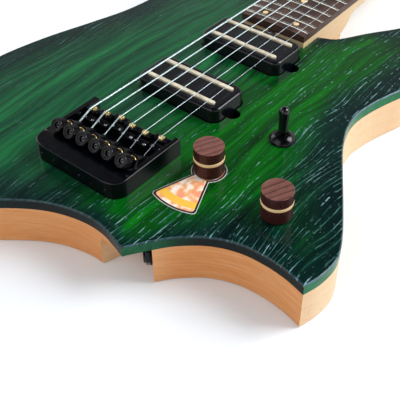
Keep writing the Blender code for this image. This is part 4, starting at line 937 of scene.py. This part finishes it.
def tuner_frame(x=0):
    return Matrix.Translation((x, *tuner_along(0))) @ Matrix.Rotation(QUARTER - LEAN, 4, "X")


def leaning_block(x, depth_low, depth_high, rise_low, rise_high):
    return moved(block((-x, rise_low, -depth_high), (x, rise_high, -depth_low)), parent=tuner_frame())


def bridge():
    low, high, bed, thin = TOP_Z + 0.02, TOP_Z + 12.4, TOP_Z + 3.3, TOP_Z + 1.4
    half, inner, front, corner = 36.4, 32.8, 8, 11.76
    outline = [(half, front), (-half, front), (-half, BRIDGE_REAR, corner), (half, BRIDGE_REAR, corner)]
    slope_rise = -4.6
    slope, slope_thin = ((tuner_along(0, slope_rise)[1] - z) / math.sin(LEAN) for z in (bed, thin))
    base = carved(
        slab(eased(outline, True, 14), low, high, top=0.9),
        block((-inner, tuner_along(slope, slope_rise)[0], bed), (inner, front + FAR, high + FAR)),
        block(
            (-inner, tuner_along(slope_thin, slope_rise)[0], thin),
            (inner, tuner_along(20.3, 4.2)[0] + 0.4, high + FAR),
        ),
        leaning_block(inner, 7.9, slope_thin, slope_rise, FAR),
        leaning_block(inner, -FAR, 8.2, -5.1, FAR),
    )
    bearing = leaning_block(inner + 0.4, 7.3, 8.8, -5.5, 2.6)
    base = edged(carved(base, bearing, operation="UNION"), 0.3, angle=40)
    tools = []
    for x in map(string_x, STRINGS):
        tools.append(moved(rod(1.85, -9.8, -5.3), parent=tuner_frame(x)))
        tools.append(rod(1.3, -FAR, 2.5, (x, BRIDGE_REAR, TOP_Z + 5.6), ALONG_Y, 20))
    piece("bridge_body", carved(base, *tools), BLACK, "bridge_base", sharp=38)

    for i in STRINGS:
        plug = screw(1.15, 1.4, 0.62, kind="hex", dome=0.1)
        place = (string_x(i), BRIDGE_REAR + 0.6, TOP_Z + 5.6)
        piece(f"lock_screw_{i + 1}", moved(plug, place, (QUARTER, 0, 0)), STEEL)
    for side, label in ((-1, "bass"), (1, "treble")):
        dot = screw(1.1, 0.6, 0.55, kind="hex", dome=0.1)
        piece(f"wall_screw_{label}", moved(dot, (side * 34.4, -36.5, high + 0.05)), STEEL)


def saddles():
    half, grub_x, grub_y = 5.1, 3.2, 5.2
    for i in STRINGS:
        x, y, crest = string_x(i), SADDLE_SETBACK[i], saddle_z(i) - STRING_RADII[i] - GAP
        rides = f"saddle_{i + 1}_travel"
        foot = TOP_Z + 3.6 - crest
        profile = eased([
            (3.6, foot), (3.6, -4.4, 0.8), (1.9, -0.6, 0.9), (-1.9, -0.6, 0.9),
            (-3.1, -4.7, 0.8), (-7.2, -5.2, 0.6), (-7.2, foot),
        ], steps=5)
        saddle = carved(
            edged(loft([[(side, *point) for point in profile] for side in (-half, half)]), 0.25, angle=50),
            block((-1.75, -2.6, -4.6), (1.75, 2.7, FAR)),
            block((-1.2, -FAR, -4), (1.2, -1, FAR)),
            *[rod(1.25, -FAR, FAR, (side * grub_x, -grub_y, 0), segments=20) for side in (-1, 1)],
        )
        piece(f"saddle_block_{i + 1}", moved(saddle, (x, y, crest)), BLACK, f"saddle_{i + 1}", body=rides)
        groove = max(1.45, 2 - STRING_RADII[i])
        upper = [(0.6, 1.65), (1.9, 1.65, 0.3), (2.1, 1, 0.3), (groove, 0.12, 0.5)]
        roller = turned(mirrored(upper), 36)
        mesh = moved(roller, (x, y, crest - groove + 0.14), ALONG_X)
        piece(f"saddle_roller_{i + 1}", mesh, BRASS, body=rides)
        for side, label in ((-1, "a"), (1, "b")):
            grub = screw(1.15, 1.2, 0.6, 3, 1.15, "hex", 0.15)
            grub = moved(grub, (x + side * grub_x, y - grub_y, crest - 4.7))
            piece(f"height_screw_{i + 1}{label}", grub, STEEL, body=rides)


def tuners():
    core = [
        (1.85, -0.7), (3, -0.7, 0.1), (3.2, 0, 0.15), (4.1, 0, 0.25), (4.35, -0.7), (4.35, -6.4),
        (4.1, -7, 0.2), (1.85, -7),
    ]
    grip = [(4.1, -0.5), (4.5, -0.6), (4.7, -0.95), (4.7, -6.05), (4.5, -6.4), (4.1, -6.5)]
    head = -BOSS_DEPTH - 1.4
    barrel = [(0, head), (4.2, head, 0.4), (4.2, -PULLER_FRONT, 0.5), (0, -PULLER_FRONT)]
    boss = [
        (1.4, -BOSS_DEPTH), (3.3, -BOSS_DEPTH, 0.4), (3.3, -BOSS_DEPTH - 1, 0.2), (2.8, -BOSS_DEPTH - 1.5),
        (1.4, -BOSS_DEPTH - 1.5),
    ]
    stud = [(0, -2), (1.5, -2, 0.3), (1.5, -BOSS_DEPTH - 0.5), (0, -BOSS_DEPTH - 0.5)]
    ball = mirrored([(0.7, 1.8), (1.9, 1.8, 0.3), (1.9, 1, 0.2), (1.6, 0.6, 0.2)])
    flat_z = TOP_Z + 1.7 + PULL_BACK * math.sin(LEAN)
    ball_y, ball_z = tuner_along(BALL_DEPTH, BALL_RISE)
    for i in STRINGS:
        n, x, radius = i + 1, string_x(i), STRING_RADII[i]
        matrix = tuner_frame(x)
        turns, pulled = f"tuner_knob_{n}_turn", f"puller_{n}_travel"
        mesh = moved(turned(core), parent=matrix)
        piece(f"tuner_{n}_knob", mesh, BLACK, f"tuner_knob_{n}", body=turns)
        mesh = moved(turned(grip, 88, dent=0.955), parent=matrix)
        piece(f"tuner_{n}_grip", mesh, BLACK_SATIN, body=turns, sharp=20, weighted=False)

        slot = radius + 0.4
        pocket = block((-FAR, -3.4, -POCKET_FRONT), (FAR, 1, -POCKET_REAR))
        slit = block((-slot, BALL_RISE, -PULLER_FRONT - FAR), (slot, FAR, -(BALL_DEPTH - PULL_BACK - slot)))
        leaning = [moved(shape, parent=matrix) for shape in (turned(barrel, 40), pocket, slit)]
        mesh = carved(*leaning, block((-FAR, -FAR, -FAR), (FAR, FAR, flat_z)))
        piece(f"string_puller_{n}", mesh, BLACK_SATIN, f"puller_{n}", body=pulled)
        piece(f"puller_boss_{n}", moved(turned(boss, 40), parent=matrix), BRASS, body=pulled)
        mesh = carved(turned(stud, 32), rod(0.8, -3.4, 0, segments=6))
        piece(f"puller_stud_{n}", moved(mesh, parent=matrix), STUD, body=pulled)

        # The bend starts behind the crest, so that the saddle can move under the wire
        crest_y, over_saddle = SADDLE_SETBACK[i], saddle_z(i)
        bend = [(x, crest_y - t, over_saddle - 0.08 * (t - 1.1) ** 2) for t in (3.8, 3.2, 2.6, 2, 1.5, 1.1)]
        past_nut = ((0, nut_z(i)), (4.5, nut_z(i)), (10.5, CLAMP_Z), (27.5, CLAMP_Z))
        route = [(x, ball_y, ball_z), *bend, *[(string_x(i, SCALE), SCALE + past, z) for past, z in past_nut]]
        look = WOUND_WIRE if i < 4 else PLAIN_WIRE
        piece(f"wire_{n}", tube(route, radius), look, f"string_{n}", weighted=False)
        mesh = turned(ball, 32)
        piece(f"string_ball_{n}", moved(mesh, (x, ball_y, ball_z), ALONG_X), BRASS)


# Pickups and controls


def pickups():
    bottom, top, blade_y, ear_x = TOP_Z - 13, TOP_Z + 10.3, 9.65, 37.6
    core_top = top - 4.2
    for name, y in PICKUP_Y.items():
        shell = slab(pickup_outline(y), bottom, top, top=2.2, steps=6)
        ears = slab(oblong(40.7, 4.5, 3.5, y), bottom, bottom + 2)
        tools = [slab(pickup_outline(y, -2), bottom - FAR, top - 3.2)]
        for side in (-1, 1):
            tools.append(slab(oblong(29.35, 1.85, 1.8, y + side * blade_y, 6), bottom, top + FAR))
        tools += [rod(1.7, -FAR, FAR, (side * ear_x, y, bottom), segments=20) for side in (-1, 1)]
        shell = carved(carved(shell, ears, operation="UNION"), *tools)
        piece(f"{name}_shell", shell, SHELL, name)
        core = block((-30, y - 12.65, core_top - 3), (30, y + 12.65, core_top))
        piece(f"{name}_core", edged(core, 0.3), BLACK_SATIN, f"{name}_blades")
        for side, label in ((-1, "rear"), (1, "front")):
            outline = oblong(28.9, 1.5, 1.45, y + side * blade_y, 8)
            piece(f"{name}_blade_{label}", slab(outline, core_top - 0.5, top + 1.2, top=0.35), BLADE)
        for side, label in ((-1, "bass"), (1, "treble")):
            head = moved(screw(2.7, 1.5, 1.7, 6, 1.4), (side * ear_x, y, bottom + 3.6), (0, 0, 0.6))
            piece(f"{name}_screw_{label}", head, STEEL)


def knobs():
    foot, radius, waist = TOP_Z + 0.9, 9.4, 7.4
    turning = [
        (0, 18.6), (radius, 18.6, 0.55), (radius, 11.55, 0.25), (waist, 11.5), (waist, 9.2),
        (radius, 9.15, 0.25), (radius, 0, 0.5), (6.6, 0), (6.6, 2), (3.35, 2), (3.35, 11), (0, 11),
    ]
    band = [(7.3, 11.5), (9.5, 11.45, 0.5), (9.5, 9.25, 0.5), (7.3, 9.2)]
    for name, (x, y) in (("volume", VOLUME), ("tone", TONE)):
        rides = f"{name}_turn_part"
        mesh = moved(turned(turning, 96), (x, y, foot))
        piece(f"{name}_knob_wood", mesh, KNOB_WOOD, f"{name}_knob", body=rides)
        mesh = moved(turned(band, 96), (x, y, foot))
        piece(f"{name}_knob_ring", mesh, RING_WOOD, f"{name}_ring", body=rides)


def selector():
    step, rim, well, skirt, inside = 2.9, 4.8, 3.44, 8.6, 5.2
    dome = smooth_run([(4.5, rim), (5.6, 4.3), (7, 3.2), (8.2, 1.8), (skirt, 0.8)], 5)
    collar = [(well, 4.5), (well + 0.25, rim), *dome]
    collar += [(skirt, 0.05), (inside, 0.05), (inside, step), (well, step)]
    mesh = moved(turned(collar, 72), (*SWITCH, TOP_Z))
    piece("selector_collar", mesh, BLACK, "switch_collar")
    # The lever's heights are measured from its pivot, a little below the top
    pivot, tip, foot, r = 1.5, 26.5, 7.7, 3.4
    lever = smooth_run([
        (0, tip), (0.42 * r, tip - 0.09 * r), (0.8 * r, tip - 0.4 * r), (0.98 * r, tip - 0.85 * r),
        (r, tip - 1.4 * r), (0.94 * r, tip - 3 * r), (0.86 * r, foot + 2.5),
    ], 5)
    lever += [(0.84 * r, foot, 0.6), (1.5, foot, 0.3), (1.5, -3.5), (0, -3.5)]
    mesh = moved(turned(lever, 64), (*SWITCH, TOP_Z - pivot))
    piece("selector_lever", mesh, GLOSS, "switch_lever", body="switch_lever_part")


def wedge(inset):
    """The card's outline, this far inside its edge: an arc, two sides and a round head at the knob."""
    radius, head, offset, nose = 38.8 - inset, 10.9 - inset, 2.7 - inset, 1.8

    def side(reach):
        return math.radians(20.5) + math.asin(offset / reach)

    corner, shoulder, start = side(radius) - nose / radius, radius - nose * 0.3, side(head)
    flank = [(shoulder, side(shoulder) - 0.3 * nose / radius), (radius - nose, side(radius - nose))]
    outline = [(radius, corner * (k / 16 - 1)) for k in range(33)] + flank
    outline += [(head, start + 2 * (math.pi - start) * k / 40) for k in range(41)]
    outline += [(reach, -angle) for reach, angle in reversed(flank)]
    turn = math.radians(2.5) - QUARTER
    return [
        (VOLUME[0] + reach * math.cos(angle + turn), VOLUME[1] + reach * math.sin(angle + turn))
        for reach, angle in outline
    ]


def card():
    """The wedge of card: stock, a black border on its face and the print inside it."""
    low = TOP_Z + 0.05
    for name, inset, bottom, top, edge, look, nodes in (
        ("card_stock", 0, 0, 0.4, 0.08, CARD_STOCK, ["pull_tag"]),
        ("card_border", 0.28, 0.3, 0.43, 0, CARD_EDGE, []),
        ("card_face", 1.5, 0.35, 0.46, 0, CARD_FACE, []),
    ):
        hole = rod(4.7, -FAR, FAR, (*VOLUME, TOP_Z))
        piece(name, carved(slab(wedge(inset), low + bottom, low + top, top=edge), hole), look, *nodes)


def jack():
    sleeve = [(3.3, 5.1), (4.5, 5.1, 0.3), (4.5, 0.3), (5.3, 0.3), (5.3, -27), (3.3, -27)]
    nut = turned([(4.5, 3.9), (5.5, 3.9), (6.2, 3.4), (6.2, 1.4), (4.5, 1.4)], 6)
    washer = [(4.5, 1.3), (6.2, 1.3, 0.3), (6.2, 0.1, 0.1), (4.5, 0.1)]
    piece("jack_sleeve", moved(turned(sleeve), *JACK), BLACK, "output_jack")
    piece("jack_nut", moved(edged(nut, 0.15, angle=20), *JACK), BLACK)
    piece("jack_washer", moved(turned(washer), *JACK), BLACK_SATIN)


def dressed(look, *nodes):
    """The nodes that keep their CAD shape get a finished material."""
    for node in nodes:
        materials = frame["nodes"][node].data.materials
        materials.clear()
        materials.append(look)


body()
neck()
headpiece()
bridge()
saddles()
tuners()
pickups()
knobs()
selector()
card()
jack()
dressed(STEEL, "truss_rod", "truss_wheel", "volume_pot", "tone_pot", "volume_shaft", "tone_shaft")
dressed(STEEL, "switch_case")
dressed(PLASTIC, "volume_plunger", "jack_lead")


# Floor, light and camera, in metres


def floor():
    look = Look("floor", "floor", (0.87, 0.91, 0.96), 0.6, Specular_IOR_Level=0.2)
    look.set(Normal=look.bump(look.noise((4, 4, 4)), 0.05, 0.02))
    # Far from the guitar the floor is white to the eye, as a studio's sweep is
    far = look.span(look.vector("LENGTH", look.point(look.x, look.y)), 700, 1600)
    share = far * look.add("LightPath", out="Is Camera Ray")
    blend = look.add("MixShader", share, Value(look, look.shader.outputs[0]), look.add("Emission"))
    look.wire(look.tree.nodes["Material Output"].inputs["Surface"], blend)
    bm = bmesh.new()
    bmesh.ops.create_grid(bm, x_segments=1, y_segments=1, size=6)
    obj = linked("floor", mesh_from(bm))
    obj.data.materials.append(look.material)
    obj.location.z = -0.0002


def lamp(name, place, target, size, power, colour):
    light = bpy.data.lights.new(name, "AREA")
    light.shape, light.size, light.size_y = "RECTANGLE", *size
    light.energy, light.color = power, colour
    obj = linked(name, light)
    obj.location = place
    obj.rotation_euler = (Vector(target) - Vector(place)).to_track_quat("-Z", "Y").to_euler()


def world():
    """White to the eye; mirrors and glass see it white low down and grey overhead; soft light is weaker."""
    made = bpy.data.worlds.new("studio")
    bpy.context.scene.world = made
    made.use_nodes = True
    nodes = Nodes(made.node_tree)
    eye, mirror, glass = (
        nodes.add("LightPath", out=f"Is {kind} Ray") for kind in ("Camera", "Glossy", "Transmission")
    )
    height = nodes.add("SeparateXYZ", nodes.add("TexCoord", out="Generated"), out="Z")
    shine = nodes.add("MapRange", height, 0.12, 0.68, 1, 0.05)
    rest = nodes.add("Mix", nodes.math("MAXIMUM", mirror, glass), 0.5, shine, into=(0, 2, 3))
    background = nodes.tree.nodes["Background"].inputs
    nodes.wire(background["Color"], (1, 1, 1))
    nodes.wire(background["Strength"], nodes.math("MAXIMUM", eye, rest))


def camera():
    lens = bpy.data.cameras.new("camera")
    lens.lens, lens.sensor_width, lens.clip_start = 68.13, 36, 0.01
    obj = linked("camera", lens)
    azimuth, elevation, roll = (math.radians(angle) for angle in (40, 43.4, -1.05))
    turn = Matrix.Rotation(azimuth, 4, "Z") @ Matrix.Rotation(QUARTER - elevation, 4, "X")
    obj.matrix_world = Matrix.Translation((0.276, -0.26, 0.336)) @ turn @ Matrix.Rotation(roll, 4, "Z")
    bpy.context.scene.camera = obj


floor()
lamp("key", (0.98, 0.9, 1.12), (0.05, 0.02, 0), (0.9, 0.9), 26, (0.98, 0.99, 1))
lamp("left", (-1.5, 0.1, 0.9), (0, 0, 0), (0.7, 1), 6, (0.96, 0.98, 1))
lamp("fill", (-0.3, -1.4, 1.2), (0.05, 0, 0), (1.4, 1.4), 9, (1, 0.99, 0.98))
world()
camera()
bpy.context.scene.view_settings.view_transform = "Standard"
